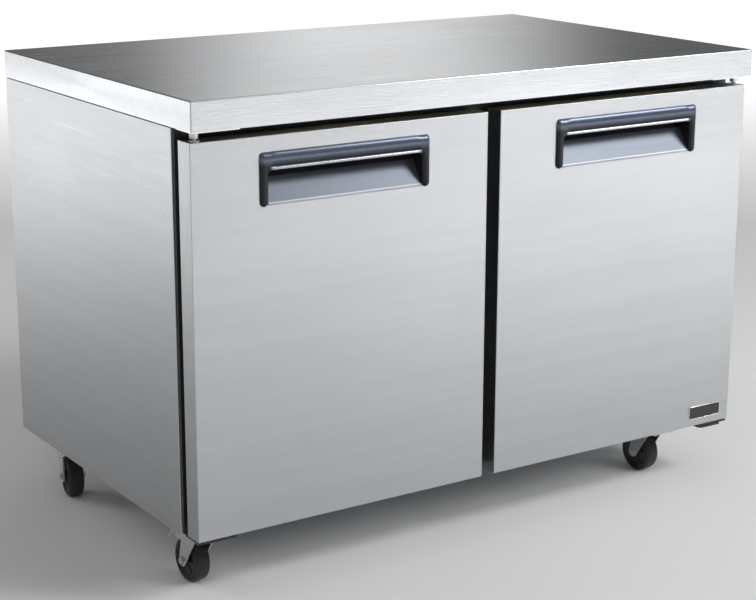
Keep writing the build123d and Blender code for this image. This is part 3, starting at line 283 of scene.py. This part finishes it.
def pull_plate_painted_edge():
    """Satin plate with drawn lines, and a painted highlight: a lighter colour along the rolled edge at the
    bottom.
    """
    shader = Shader("ramp_finish_painted_edge", 0.6)
    lines = shader.noise((5.0, 900.0, 900.0), 2.0)
    # Painted highlight: the plate is coloured light grey below 5 to 7 mm above the pull's lower end, along
    # the rolled edge.
    edge = shader.fade(shader.across("Z"), PULL["low"] + 7.0, PULL["low"] + 5.0)
    body = shader.mix(shader.span(lines, 0, 1), (0.100, 0.115, 0.140), (0.125, 0.142, 0.172))
    shader.put(shader.bsdf.inputs["Base Color"], shader.mix(edge, body, (0.42, 0.44, 0.48)))
    shader.put(shader.bsdf.inputs["Roughness"], shader.span(lines, 0.33, 0.42))
    shader.bump(lines, 0.12, 0.0002)
    return shader.material


MAT = {
    "steel_top": brushed("steel_top", "x", "X", 0.0, colour=(0.57, 0.585, 0.60), rough=0.26),
    "steel_door": brushed("steel_door", "x", "Z", 0.25, rough=0.34),
    "steel_side": brushed("steel_side", "y", "Z", 0.25, rough=0.32),
    "liner": brushed("liner_metal", "z", "Z", 0.0, colour=(0.74, 0.75, 0.76), rough=0.36, depth=0.6),
    "galvanised": plated("galvanised", (0.60, 0.62, 0.64), 0.42, 120.0),
    "zinc": plated("zinc", (0.72, 0.73, 0.74), 0.27, 900.0),
    "foam": plain("foam", (0.82, 0.72, 0.46), 0.85, fine=500.0, contrast=0.1, grain=0.5, distance=0.0006),
    "bar": pull_bar_painted_sheen(),
    "pocket": plain("pocket_moulding", (0.010, 0.011, 0.014), 0.38, fine=1200.0, grain=0.12),
    "ramp": pull_plate_painted_edge(),
    "black": plain("black_plastic", (0.018, 0.019, 0.021), 0.42, grain=0.15),
    "frame": plain("breaker_plastic", (0.022, 0.024, 0.026), 0.40, grain=0.12),
    "gasket": plain("gasket_rubber", (0.020, 0.021, 0.022), 0.62, fine=700.0, grain=0.18),
    "black_steel": plain("black_steel", (0.022, 0.022, 0.024), 0.36, fine=600.0, grain=0.22, distance=0.0003),
    "shelf": plain("shelf_coat", (0.74, 0.75, 0.76), 0.33, fine=400.0, contrast=0.05, grain=0.12),
    "fins": lined("fin_metal", (0.72, 0.74, 0.76), 0.34, 1.0, (1300.0, 8.0, 8.0), 0.10),
    "copper": plain("copper", (0.72, 0.35, 0.20), 0.26, 1.0, fine=200.0, contrast=0.16, grain=0.04),
    "nylon": plain("nylon", (0.70, 0.69, 0.64), 0.45, contrast=0.05, grain=0.08),
    "tyre": plain("wheel_rubber", (0.014, 0.015, 0.016), 0.46, fine=800.0, grain=0.20),
    "hub": plain("wheel_hub", (0.030, 0.031, 0.033), 0.36, fine=900.0, grain=0.14),
    "grey": plain("grey_plastic", (0.46, 0.47, 0.48), 0.42, contrast=0.05, grain=0.12),
    "inner_panel": plain("inner_panel", (0.66, 0.67, 0.68), 0.34, fine=700.0, contrast=0.04, grain=0.10),
    "badge_face": plain("badge_face", (0.012, 0.012, 0.014), 0.24, grain=0.05,
                        Coat_Weight=0.5, Coat_Roughness=0.08),
    "badge_rim": lined("badge_rim", (0.80, 0.81, 0.82), 0.24, 1.0, (30.0, 1500.0, 1500.0), 0.06),
}


# ---- Mesh building ------------------------------------------------------------------------------
def finish_mesh(name, verts, faces, mats, body, slot, replaces=(), which=None, sharp=32.0):
    """Make an object from millimetre vertices and hang it on its body."""
    mesh = bpy.data.meshes.new(name)
    mesh.from_pydata([tuple(c * MM for c in v) for v in verts], [], faces)
    builder = bmesh.new()
    builder.from_mesh(mesh)
    bmesh.ops.recalc_face_normals(builder, faces=builder.faces)
    builder.to_mesh(mesh)
    builder.free()
    for material in mats:
        mesh.materials.append(MAT[material])
    if which:
        for polygon, index in zip(mesh.polygons, which):
            polygon.material_index = index
    smooth(mesh, sharp)
    piece = bpy.data.objects.new(name, mesh)
    SCENE.collection.objects.link(piece)
    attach(piece, body)
    if replaces:
        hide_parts(*replaces)
    return piece


def smooth(mesh, angle):
    mesh.shade_smooth()
    mesh.set_sharp_from_angle(angle=radians(angle))


def bevel(piece, width, segments=2, angle=35.0, weld=False):
    """Round a piece's edges by a width in millimetres."""
    if weld:
        modifier = piece.modifiers.new("weld", "WELD")
        modifier.merge_threshold = 1e-5
    modifier = piece.modifiers.new("bevel", "BEVEL")
    modifier.width = width * MM
    modifier.segments = segments
    modifier.limit_method = "ANGLE"
    modifier.angle_limit = radians(angle)
    modifier.harden_normals = False
    modifier.use_clamp_overlap = True
    return piece


def ring_faces(loops, count):
    """Faces of a closed ring: loops of count points each, joined to the next and back to the first."""
    faces = []
    for loop in range(loops):
        after = (loop + 1) % loops
        for i in range(count):
            j = (i + 1) % count
            faces.append((loop * count + i, loop * count + j, after * count + j, after * count + i))
    return faces


def lathe(profile, segments, centre, axis, along):
    """Closed ring of revolution: the profile is (radius, offset on the axis), and along is square to it."""
    centre, axis, along = Vector(centre), Vector(axis).normalized(), Vector(along).normalized()
    other = axis.cross(along)
    verts = []
    for step in range(segments):
        angle = 2 * pi * step / segments
        out = along * cos(angle) + other * sin(angle)
        verts += [centre + out * radius + axis * offset for radius, offset in profile]
    return verts, ring_faces(segments, len(profile))


def cap_faces(rings, segments):
    """Faces of a closed solid: vertices 0 and 1 close the first and last ring, rings start at vertex 2."""
    faces = []
    last = 2 + (rings - 1) * segments
    for step in range(segments):
        after = (step + 1) % segments
        faces += [(0, 2 + step, 2 + after), (1, last + after, last + step)]
        for ring in range(rings - 1):
            a, b = 2 + ring * segments, 2 + (ring + 1) * segments
            faces.append((a + step, b + step, b + after, a + after))
    return faces


def dome(profile, segments, centre, axis, along):
    """Solid of revolution: the profile's first and last points are on the axis."""
    centre, axis, along = Vector(centre), Vector(axis).normalized(), Vector(along).normalized()
    other = axis.cross(along)
    verts = [centre + axis * profile[0][1], centre + axis * profile[-1][1]]
    for radius, offset in profile[1:-1]:
        for step in range(segments):
            angle = 2 * pi * step / segments
            verts.append(centre + (along * cos(angle) + other * sin(angle)) * radius + axis * offset)
    return verts, cap_faces(len(profile) - 2, segments)


def prism(loop, low, high, place):
    """Solid with flat ends: place(u, v, w) turns a loop point and a depth into a vertex."""
    count = len(loop)
    verts = [place(u, v, low) for u, v in loop] + [place(u, v, high) for u, v in loop]
    faces = [tuple(range(count))[::-1], tuple(range(count, 2 * count))]
    faces += [(i, (i + 1) % count, count + (i + 1) % count, count + i) for i in range(count)]
    return verts, faces


def join(*parts):
    """Put several vertex and face lists into one."""
    verts, faces, which = [], [], []
    for index, (part_verts, part_faces) in enumerate(parts):
        start = len(verts)
        verts += part_verts
        faces += [tuple(start + i for i in face) for face in part_faces]
        which += [index] * len(part_faces)
    return verts, faces, which


def rect_ring(x, z, profile):
    """Ring swept round a rectangle in XZ with mitred corners. The profile is (inset, y)."""
    verts, count = [], len(profile)
    corners = (x[0], z[0], 1, 1), (x[1], z[0], -1, 1), (x[1], z[1], -1, -1), (x[0], z[1], 1, -1)
    for cx, cz, sx, sz in corners:
        verts += [(cx + sx * inset, y, cz + sz * inset) for inset, y in profile]
    return verts, ring_faces(4, count)


def rounded(width, height, radius, steps=6):
    """Loop of a rounded rectangle about the origin."""
    loop = []
    for cx, cy, start in (
        (width / 2 - radius, height / 2 - radius, 0), (radius - width / 2, height / 2 - radius, 90),
        (radius - width / 2, radius - height / 2, 180), (width / 2 - radius, radius - height / 2, 270),
    ):
        for step in range(steps + 1):
            angle = radians(start + 90 * step / steps)
            loop.append((cx + radius * cos(angle), cy + radius * sin(angle)))
    return loop


# ---- Pull handles ---------------------------------------------------------------------------------
def roll_in(distance, radius):
    """Height of a rounded edge as a fraction, at a distance in from it."""
    if distance <= 0:
        return 0.0
    return sqrt(1 - (1 - min(distance, radius) / radius) ** 2)


def pull_edges(x, z):
    """Distances from the pull's outer and inner outlines, for x measured out from its middle."""
    p = PULL
    out_x, out_z = p["half"] - x, p["top"] - z
    outer = min(out_x, out_z)
    if out_x < p["corner"] and out_z < p["corner"]:
        outer = p["corner"] - hypot(p["corner"] - out_x, p["corner"] - out_z)
    tip_x, tip_z = (p["half"] + p["inner"]) / 2, p["low"] + p["tip"]
    if z < tip_z:
        outer = p["tip"] - hypot(x - tip_x, z - tip_z)
    corner_x, corner_z = p["inner"] - p["fillet"], p["bar"] - p["fillet"]
    if x > corner_x and z > corner_z:
        inner = hypot(x - corner_x, z - corner_z) - p["fillet"]
    elif x <= corner_x:
        inner = z - p["bar"]
    else:
        inner = x - p["inner"]
    return outer, inner


BEAD, CREST = 3.0, 17.0
OUTER_ROLL, LEG_ROLL, BAR_ROLL = 7.5, 8.0, 5.0


def bar_front(up):
    """Bar's own section: a bead along the lower edge, a hollow above it and a hood rounded over on top."""
    hollow = PULL["proud"] - BEAD
    if up < 2 * BEAD:
        return hollow + sqrt(max(0.0, BEAD ** 2 - (up - BEAD) ** 2))
    if up < CREST:
        return hollow + BEAD * sin(pi / 2 * (up - 2 * BEAD) / (CREST - 2 * BEAD))
    drop = (up - CREST) / (PULL["top"] - PULL["bar"] - CREST)
    return PULL["proud"] * sqrt(max(0.0, 1 - drop ** 2))


def pull_height(x, z):
    """How far the pull stands off the door: the bar's section between the legs, a plain roll on them."""
    outer, inner = pull_edges(abs(x), z)
    up = z - PULL["bar"]
    leg = roll_in(inner, LEG_ROLL if up < 0 else BAR_ROLL) * bar_front(max(up, CREST))
    share = min(1.0, max(0.0, (BEAD_HALF - abs(x)) / BEAD_FADE))
    if up < 0 or share == 0:
        return roll_in(outer, OUTER_ROLL) * leg
    share = share * share * (3 - 2 * share)
    return roll_in(outer, OUTER_ROLL if share < 1 else 0.1) * (leg + (bar_front(up) - leg) * share)


def pull_arch(side):
    """Hooded bar with two legs, as a closed mesh on a grid that follows its outline."""
    p = PULL
    split = p["bar"] - p["fillet"]
    leg = [p["inner"] + (p["half"] - p["inner"]) * t for t in
           (0, 0.03, 0.08, 0.16, 0.26, 0.38, 0.5, 0.62, 0.74, 0.84, 0.92, 0.97, 1)]
    turn = [p["inner"] - p["fillet"] * (1 - sin(radians(a))) for a in (0, 15, 30, 45, 60, 75)]
    half = [0, 50, 100, 130, 140] + turn + leg
    columns = [-x for x in reversed(half[1:])] + half
    shares = (0, 0.006, 0.022, 0.048, 0.08, 0.113, 0.145, 0.17, 0.188, 0.1935, 0.23, 0.28, 0.36, 0.45, 0.55,
              0.64, 0.73, 0.81, 0.88, 0.93, 0.967, 0.988, 0.997, 1)

    def low_edge(x):
        corner_x = p["inner"] - p["fillet"]
        if x <= corner_x:
            return p["bar"]
        if x >= p["inner"]:
            return split
        return split + sqrt(max(0.0, p["fillet"] ** 2 - (x - corner_x) ** 2))

    def outline_x(x, z):
        """Pull a column in where the outer corner or the tip is rounded."""
        size, sign = abs(x), 1 if x >= 0 else -1
        drop = z - (p["top"] - p["corner"])
        if drop > 0 and size > p["half"] - p["corner"]:
            limit = p["half"] - p["corner"] + sqrt(max(0.0, p["corner"] ** 2 - drop ** 2))
            share = (size - (p["half"] - p["corner"])) / p["corner"]
            size = p["half"] - p["corner"] + share * (limit - (p["half"] - p["corner"]))
        centre = (p["half"] + p["inner"]) / 2
        drop = p["low"] + p["tip"] - z
        if drop > 0:
            size = centre + (size - centre) * sqrt(max(0.0, 1 - (drop / p["tip"]) ** 2))
        return sign * size

    verts, front, back, grid = [], {}, {}, {}

    def point(key, x, z):
        if key not in front:
            x = outline_x(x, z)
            height = pull_height(x, z)
            front[key] = len(verts)
            verts.append((side * DOOR_MID + x, DOOR_FACE + 0.3 - height, z))
            back[key] = len(verts)
            verts.append((side * DOOR_MID + x, DOOR_FACE + 1.6, z))
        return key

    cells = []
    for i, x in enumerate(columns):
        low = low_edge(abs(x))
        for j, share in enumerate(shares):
            grid[i, j] = point((i, j), x, low + (p["top"] - low) * share)
    for i in range(len(columns) - 1):
        cells += [(grid[i, j], grid[i + 1, j], grid[i + 1, j + 1], grid[i, j + 1])
                  for j in range(len(shares) - 1)]
    tip = p["low"] + p["tip"]
    rows = [split, 715.0, 700.0, 690.0, tip]
    rows += [tip - p["tip"] * sin(radians(a)) for a in (15, 30, 45, 58, 70, 80, 87)]
    for i in range(len(columns) - 1):
        if min(abs(columns[i]), abs(columns[i + 1])) < p["inner"] - 1e-6:
            continue
        for row in range(len(rows) - 1):
            keys = []
            for column, level in ((i, row + 1), (i + 1, row + 1), (i + 1, row), (i, row)):
                key = (column, 0) if level == 0 else (column, -level)
                keys.append(point(key, columns[column], rows[level]))
            cells.append(tuple(keys))
    faces = [tuple(front[k] for k in cell) for cell in cells]
    faces += [tuple(back[k] for k in reversed(cell)) for cell in cells]
    sides = {}
    for cell in cells:
        for a, b in zip(cell, cell[1:] + cell[:1]):
            sides.setdefault(frozenset((a, b)), []).append((a, b))
    for pairs in sides.values():
        if len(pairs) == 1:
            a, b = pairs[0]
            faces.append((front[b], front[a], back[a], back[b]))
    return verts, faces


def pull_pocket(side):
    """Cup behind the bar: sloping floor, back, top and two triangular cheeks."""
    mouth = DOOR_FACE + 0.2
    outer = [(mouth, 677.0), (mouth, 763.0), (-336.0, 763.0), (-336.0, 729.0)]
    inner = [(mouth, 680.6), (mouth, 760.6), (-338.0, 760.6), (-338.0, 730.0)]
    verts = []
    for loop, half in ((outer, 155.9), (inner, 154.0)):
        for x in (-half, half):
            verts += [(side * DOOR_MID + x, y, z) for y, z in loop]
    faces = []
    for base in (0, 8):
        for i in (1, 2, 3):
            j = (i + 1) % 4
            faces.append((base + i, base + j, base + 4 + j, base + 4 + i))
        faces += [tuple(base + i for i in range(4)), tuple(base + 4 + i for i in range(4))]
    rim = ((0, 1), (1, 5), (5, 4), (4, 0))
    faces += [(a, b, 8 + b, 8 + a) for a, b in rim]
    return verts, faces


def pull_ramp(side):
    """Satin plate on the lower part of the pocket's floor, rolled over the door's cut edge at the bottom."""
    front = [(-368.7, 676.2), (-369.1, 677.4), (-369.1, 679.0), (-368.4, 680.4), (-366.6, 683.2),
             (-352.0, 707.2), (-343.6, 721.0)]
    back = [(-343.1, 719.4), (-352.0, 705.0), (-367.4, 679.6), (-367.7, 676.4)]
    middle, half = side * DOOR_MID, PULL["inner"] - 0.2
    return prism(front + back, -half, half, lambda y, z, x: (middle + x, y, z))


def add_pulls():
    for name, side in SIDES.items():
        shared = (f"{name}_door", "black_moulding", [f"{name}_door_pull"])
        finish_mesh(f"{name}_pull_arch", *pull_arch(side), ["bar"], *shared, sharp=50)
        bevel(finish_mesh(f"{name}_pull_pocket", *pull_pocket(side), ["pocket"], *shared), 0.7, 3, 20)
        bevel(finish_mesh(f"{name}_pull_ramp", *pull_ramp(side), ["ramp"], *shared, sharp=50), 0.35, 2, 50)


# ---- Door seals and badge ---------------------------------------------------------------------------
BADGE_AT, BADGE_SIZE = (544.0, 137.0), (84.0, 27.0)


def add_gaskets():
    """Magnetic seal: dart, bellows and flat magnet pocket, swept round each door with mitred corners."""
    profile = [(20.5, -328.0), (34.0, -328.0), (34.0, -326.6), (31.5, -325.4), (30.6, -323.8), (32.4, -322.4),
               (35.4, -321.2), (36.0, -319.8), (36.0, -316.4), (35.0, -315.5), (19.0, -315.5), (18.0, -316.4),
               (18.0, -319.8), (18.8, -321.2), (22.0, -322.6), (23.6, -323.9), (22.6, -325.4), (20.5, -326.6)]
    for name, side in SIDES.items():
        x = sorted(side * edge for edge in DOOR_EDGES)
        verts, faces = rect_ring(x, DOOR_ENDS, profile)
        finish_mesh(f"{name}_gasket_bellows", verts, faces, ["gasket"], f"{name}_door", "gasket_rubber",
                    [f"{name}_door_gasket"], sharp=48)


def add_badge():
    """Blank badge: dark face in a thin bright rim."""
    def place(u, v, w):
        return BADGE_AT[0] + u, DOOR_FACE - w, BADGE_AT[1] + v

    width, height = BADGE_SIZE
    face = prism(rounded(width - 3.0, height - 3.0, 2.4), -0.1, 1.0, place)
    outer, inner = rounded(width, height, 3), rounded(width - 3.4, height - 3.4, 2.2)
    rim = [place(u, v, w) for loop, w in ((outer, -0.1), (outer, 1.45), (inner, 1.45), (inner, -0.1))
           for u, v in loop]
    verts, faces, which = join(face, (rim, ring_faces(4, len(outer))))
    badge = finish_mesh("badge_plate", verts, faces, ["badge_face", "badge_rim"], "right_door",
                        "black_plastic", ["badge"], which)
    bevel(badge, 0.25, 2)


# ---- Casters ------------------------------------------------------------------------------------------
CASTER_X, CASTER_Y = (-570.5, 465.5), (-303.0, 259.0)
HEADINGS = {"front_left": 92.0, "front_right": 92.0, "rear_left": -100.0, "rear_right": -86.0}
WHEEL_R, TRAIL, RIBS = 40.0, 33.0, 6


def add_wheels():
    """Rubber tyre on a ribbed hub, turned about the axle."""
    tyre_half = [(27.0, 12.6), (29.5, 14.2), (32.0, 15.0), (35.5, 14.7), (38.2, 13.0), (39.6, 10.4),
                 (WHEEL_R, 7.0)]
    hub_half = [(4.15, 17.4), (8.2, 17.4), (8.9, 16.6), (9.2, 13.2), (11.5, 11.2), (22.5, 10.6), (25.0, 11.6),
                (26.2, 13.0), (27.4, 12.8)]
    tyre = tyre_half + [(WHEEL_R, 0.0)] + [(r, -a) for r, a in reversed(tyre_half)]
    hub = hub_half + [(r, -a) for r, a in reversed(hub_half)]
    rib_loop = [(9.0, 14.0), (13.5, 12.6), (23.5, 12.0), (26.0, 12.6), (26.0, 10.0), (9.0, 10.0)]
    places = [(x, y) for y in CASTER_Y for x in CASTER_X]
    for (x, y), (name, heading) in zip(places, HEADINGS.items()):
        trail = Vector((cos(radians(heading)), sin(radians(heading)), 0))
        axle = Vector((trail.y, -trail.x, 0))
        centre = Vector((x, y, WHEEL_R)) + trail * TRAIL
        parts = [lathe(tyre, 72, centre, axle, trail), lathe(hub, 72, centre, axle, trail)]
        for end in (-1, 1):
            for rib in range(RIBS):
                angle = 2 * pi * rib / RIBS
                out = trail * cos(angle) + Vector((0, 0, 1)) * sin(angle)
                across = axle.cross(out)
                parts.append(prism(rib_loop, -1.3, 1.3, lambda r, a, w, out=out, across=across, end=end:
                                   centre + out * r + axle * (a * end) + across * w))
        verts, faces, which = join(*parts)
        which = [min(1, part) for part in which]
        piece = finish_mesh(f"{name}_wheel_tyre", verts, faces, ["tyre", "hub"], f"{name}_wheel",
                            "wheel_rubber", [f"caster_{name}_wheel"], which, sharp=38)
        bevel(piece, 0.3, 1, 60)


# ---- Fasteners ----------------------------------------------------------------------------------------
TOP_HINGE_SCREWS = ((530.0, -338.0), (552.0, -352.0), (574.0, -334.0))
TOP_HINGE_Z = 810.0
BOTTOM_HINGE_SCREWS = (536.0, 566.0)
BACK_SCREWS = (124.0, 386.0, 414.0, 791.0)
BOLT_DX, BOLT_DY = 21.0, 32.0
WASHER = [(3.0, 97.0), (7.4, 97.0), (7.4, 96.2), (3.0, 96.2)]
BOLT_HEAD = [(0, 96.2), (5.2, 96.2), (5.2, 93.6), (4.4, 92.9), (0, 92.9)]


def cross_head(at, axis, radius, height):
    """Pan head with a cross recess: a dome whose inner rings dip along four arms. The axis is square to X."""
    at, axis, along = Vector(at), Vector(axis), Vector((1, 0, 0))
    other = axis.cross(along)
    rings = [(1.0, 0.0), (1.0, 0.35), (0.93, 0.72), (0.8, 0.92), (0.62, 1.0), (0.56, 1.0), (0.3, 1.0),
             (0.12, 1.0)]
    segments, arm_half, recess_reach, recess_depth = 32, 0.115, 0.6, 0.5
    verts = [at, at + axis * (height * 0.45)]
    for share, level in rings:
        for step in range(segments):
            angle = 2 * pi * step / segments
            out = along * cos(angle) + other * sin(angle)
            on_arm = min(abs(sin(angle)), abs(cos(angle))) * share < arm_half
            dip = recess_depth if on_arm and share < recess_reach else 0.0
            verts.append(at + out * (radius * share) + axis * (height * (level - dip)))
    return verts, cap_faces(len(rings), segments)


def add_fasteners():
    parts = []
    for side in SIDES.values():
        parts += [cross_head((side * x, y, TOP_HINGE_Z), (0, 0, -1), 5.0, 3.0) for x, y in TOP_HINGE_SCREWS]
        parts += [cross_head((side * x, -319.0, 116.0), (0, -1, 0), 5.0, 2.6) for x in BOTTOM_HINGE_SCREWS]
        parts += [cross_head((side * 586.3, 379.0, z), (0, 1, 0), 4.5, 1.8) for z in BACK_SCREWS]
    for x in CASTER_X:
        for y in CASTER_Y:
            for dx in (-BOLT_DX, BOLT_DX):
                for dy in (-BOLT_DY, BOLT_DY):
                    place = ((x + dx, y + dy, 0), (0, 0, 1), (1, 0, 0))
                    parts += [lathe(WASHER, 24, *place), dome(BOLT_HEAD, 6, *place)]
    verts, faces, _ = join(*parts)
    finish_mesh("cabinet_fasteners", verts, faces, ["zinc"], "cabinet", "zinc", ["cabinet_screws"])


# ---- CAD nodes that stay, with their finish ----------------------------------------------------------------
FORKS = [f"caster_{name}_fork" for name in HEADINGS]
PEDALS = [f"caster_front_{name}_pedal" for name in SIDES]
FINISH = {
    "steel_top": ("worktop_skin",),
    "steel_door": ("left_door_skin", "right_door_skin"),
    "steel_side": ("left_side_panel", "right_side_panel"),
    "liner": ("inner_liner", "mullion_cover", "evaporator_cover"),
    "galvanised": ("base_panel", "top_panel", "back_panel", "rear_grille", "unit_tray", "condenser_shroud",
                   "shelf_pilasters", "electrical_box"),
    "zinc": ("top_hinges", "shelf_clips", "caster_mounts", *FORKS, *PEDALS),
    "foam": ("worktop_core", "cabinet_insulation", "left_door_insulation", "right_door_insulation"),
    "frame": ("breaker_frame",),
    "black": ("evaporator_motor", "condenser_motor", "cord_gland", "evaporator_fan", "condenser_fan",
              "thermostat_knob"),
    "black_steel": ("compressor", "bottom_hinges"),
    "shelf": ("shelf_left", "shelf_right"),
    "fins": ("evaporator_coil", "condenser_coil"),
    "copper": ("refrigerant_pipes",),
    "nylon": ("left_hinge_bushes", "right_hinge_bushes"),
    "grey": ("thermostat_body", "drain_pan", "condensate_pan"),
    "inner_panel": ("left_door_inner_panel", "right_door_inner_panel"),
}
ROUNDED = {
    "breaker_frame": 0.8, "top_hinges": 0.5, "bottom_hinges": 0.6, "caster_mounts": 0.5,
    "evaporator_cover": 0.4, "thermostat_knob": 0.8, "thermostat_body": 0.6, "mullion_cover": 0.6,
    "electrical_box": 0.6, "condensate_pan": 0.5, "unit_tray": 0.3, "left_door_inner_panel": 0.8,
    "right_door_inner_panel": 0.8, **dict.fromkeys(FORKS, 0.6), **dict.fromkeys(PEDALS, 0.5),
}


def dress_nodes():
    for material, names in FINISH.items():
        for name in names:
            node = NODES[name]
            node.data.materials.clear()
            node.data.materials.append(MAT[material])
            if name in ROUNDED:
                bevel(node, ROUNDED[name], 2, 30, weld=True)


# ---- Floor, light and surroundings ------------------------------------------------------------------------
def aim(thing, target):
    thing.rotation_euler = (Vector(target) - thing.location).to_track_quat("-Z", "Y").to_euler()


def softbox(name, at, target, width, height, power, glossy):
    """Rectangular lamp. Glossy False keeps it out of reflections."""
    data = bpy.data.lights.new(name, "AREA")
    data.shape = "RECTANGLE"
    data.size, data.size_y = width, height
    data.energy = power
    lamp = bpy.data.objects.new(name, data)
    lamp.location = at
    aim(lamp, target)
    lamp.visible_camera = False
    lamp.visible_glossy = glossy
    SCENE.collection.objects.link(lamp)


FLOOR_REACH = 40.0
GLOW, GLOW_FROM, GLOW_FULL = 0.80, 2.6, 6.0
PAPER_DARK, PAPER_LIGHT = (0.86, 0.86, 0.86), (0.88, 0.88, 0.88)
SCREEN_HEADING = radians(33.5)
SOFTBOXES = (
    ("key", (3.9, -3.4, 4.4), (0.0, 0.0, 0.3), 2.0, 2.0, 170, True),
    ("pool_right", (2.6, -3.6, 2.2), (2.6, -3.6, 0.0), 2.2, 1.8, 120, False),
    ("pool_left", (-3.4, 4.0, 2.0), (-3.4, 4.0, 0.0), 2.2, 2.0, 110, False),
    ("wash_front", (-2.4, -2.2, 2.6), (-2.4, -2.2, 0.0), 1.2, 1.2, 10, False),
)


def add_floor():
    """Pale paper that glows more the farther it is from the object, so that it meets a white background."""
    mesh = bpy.data.meshes.new("floor")
    reach = FLOOR_REACH
    mesh.from_pydata([(-reach, -reach, 0), (reach, -reach, 0), (reach, reach, 0), (-reach, reach, 0)], [],
                     [(0, 1, 2, 3)])
    shader = Shader("floor_paper", Specular_IOR_Level=0.15, Roughness=0.85, Emission_Color=(1, 1, 1, 1))
    grain = shader.noise((240.0, 240.0, 240.0), 2.0)
    shader.put(shader.bsdf.inputs["Base Color"],
               shader.mix(shader.span(grain, 0, 1), PAPER_DARK, PAPER_LIGHT))
    away = shader.vector_maths("LENGTH", shader.place)
    shader.put(shader.bsdf.inputs["Emission Strength"], shader.span(away, 0.0, GLOW, GLOW_FROM, GLOW_FULL))
    mesh.materials.append(shader.material)
    floor = bpy.data.objects.new("floor", mesh)
    SCENE.collection.objects.link(floor)


def add_world():
    """White to the camera; to the object grey, lighter overhead, with an upright white screen behind it."""
    world = bpy.data.worlds.new("studio")
    SCENE.world = world
    world.use_nodes = True
    nodes, links = world.node_tree.nodes, world.node_tree.links
    place = nodes.new("ShaderNodeTexCoord").outputs["Generated"]

    def along(direction):
        dot = nodes.new("ShaderNodeVectorMath")
        dot.operation = "DOT_PRODUCT"
        dot.inputs[1].default_value = Vector(direction).normalized()
        links.new(place, dot.inputs[0])
        return dot.outputs["Value"]

    def ramp(value, start, end, low, high):
        rise = nodes.new("ShaderNodeMapRange")
        rise.interpolation_type = "SMOOTHSTEP"
        links.new(value, rise.inputs["Value"])
        for socket, number in (("From Min", start), ("From Max", end), ("To Min", low), ("To Max", high)):
            rise.inputs[socket].default_value = number
        return rise.outputs["Result"]

    def maths(operation, a, b=None):
        node = nodes.new("ShaderNodeMath")
        node.operation = operation
        links.new(a, node.inputs[0])
        if b:
            links.new(b, node.inputs[1])
        return node.outputs["Value"]

    east, north = sin(SCREEN_HEADING), cos(SCREEN_HEADING)
    overhead = ramp(along((0, 0, 1)), 0.30, 0.85, 0.11, 0.32)
    sideways = maths("ABSOLUTE", along((north, -east, 0)))
    facing = ramp(along((east, north, 0)), 0.6, 0.8, 0.0, 1.0)
    screen = maths("MULTIPLY", ramp(sideways, 0.02, 0.16, 1.12, 0.0), facing)
    lit = nodes["Background"]
    lit.inputs["Strength"].default_value = 1.0
    links.new(maths("MAXIMUM", overhead, screen), lit.inputs["Color"])
    seen = nodes.new("ShaderNodeBackground")
    seen.inputs["Color"].default_value = (1, 1, 1, 1)
    path = nodes.new("ShaderNodeLightPath")
    blend = nodes.new("ShaderNodeMixShader")
    links.new(path.outputs["Is Camera Ray"], blend.inputs[0])
    links.new(lit.outputs[0], blend.inputs[1])
    links.new(seen.outputs[0], blend.inputs[2])
    links.new(blend.outputs[0], nodes["World Output"].inputs["Surface"])


SCENE.view_settings.view_transform = "Standard"
add_camera()
add_world()
for box in SOFTBOXES:
    softbox(*box)
add_floor()
dress_nodes()
add_pulls()
add_gaskets()
add_badge()
add_wheels()
add_fasteners()
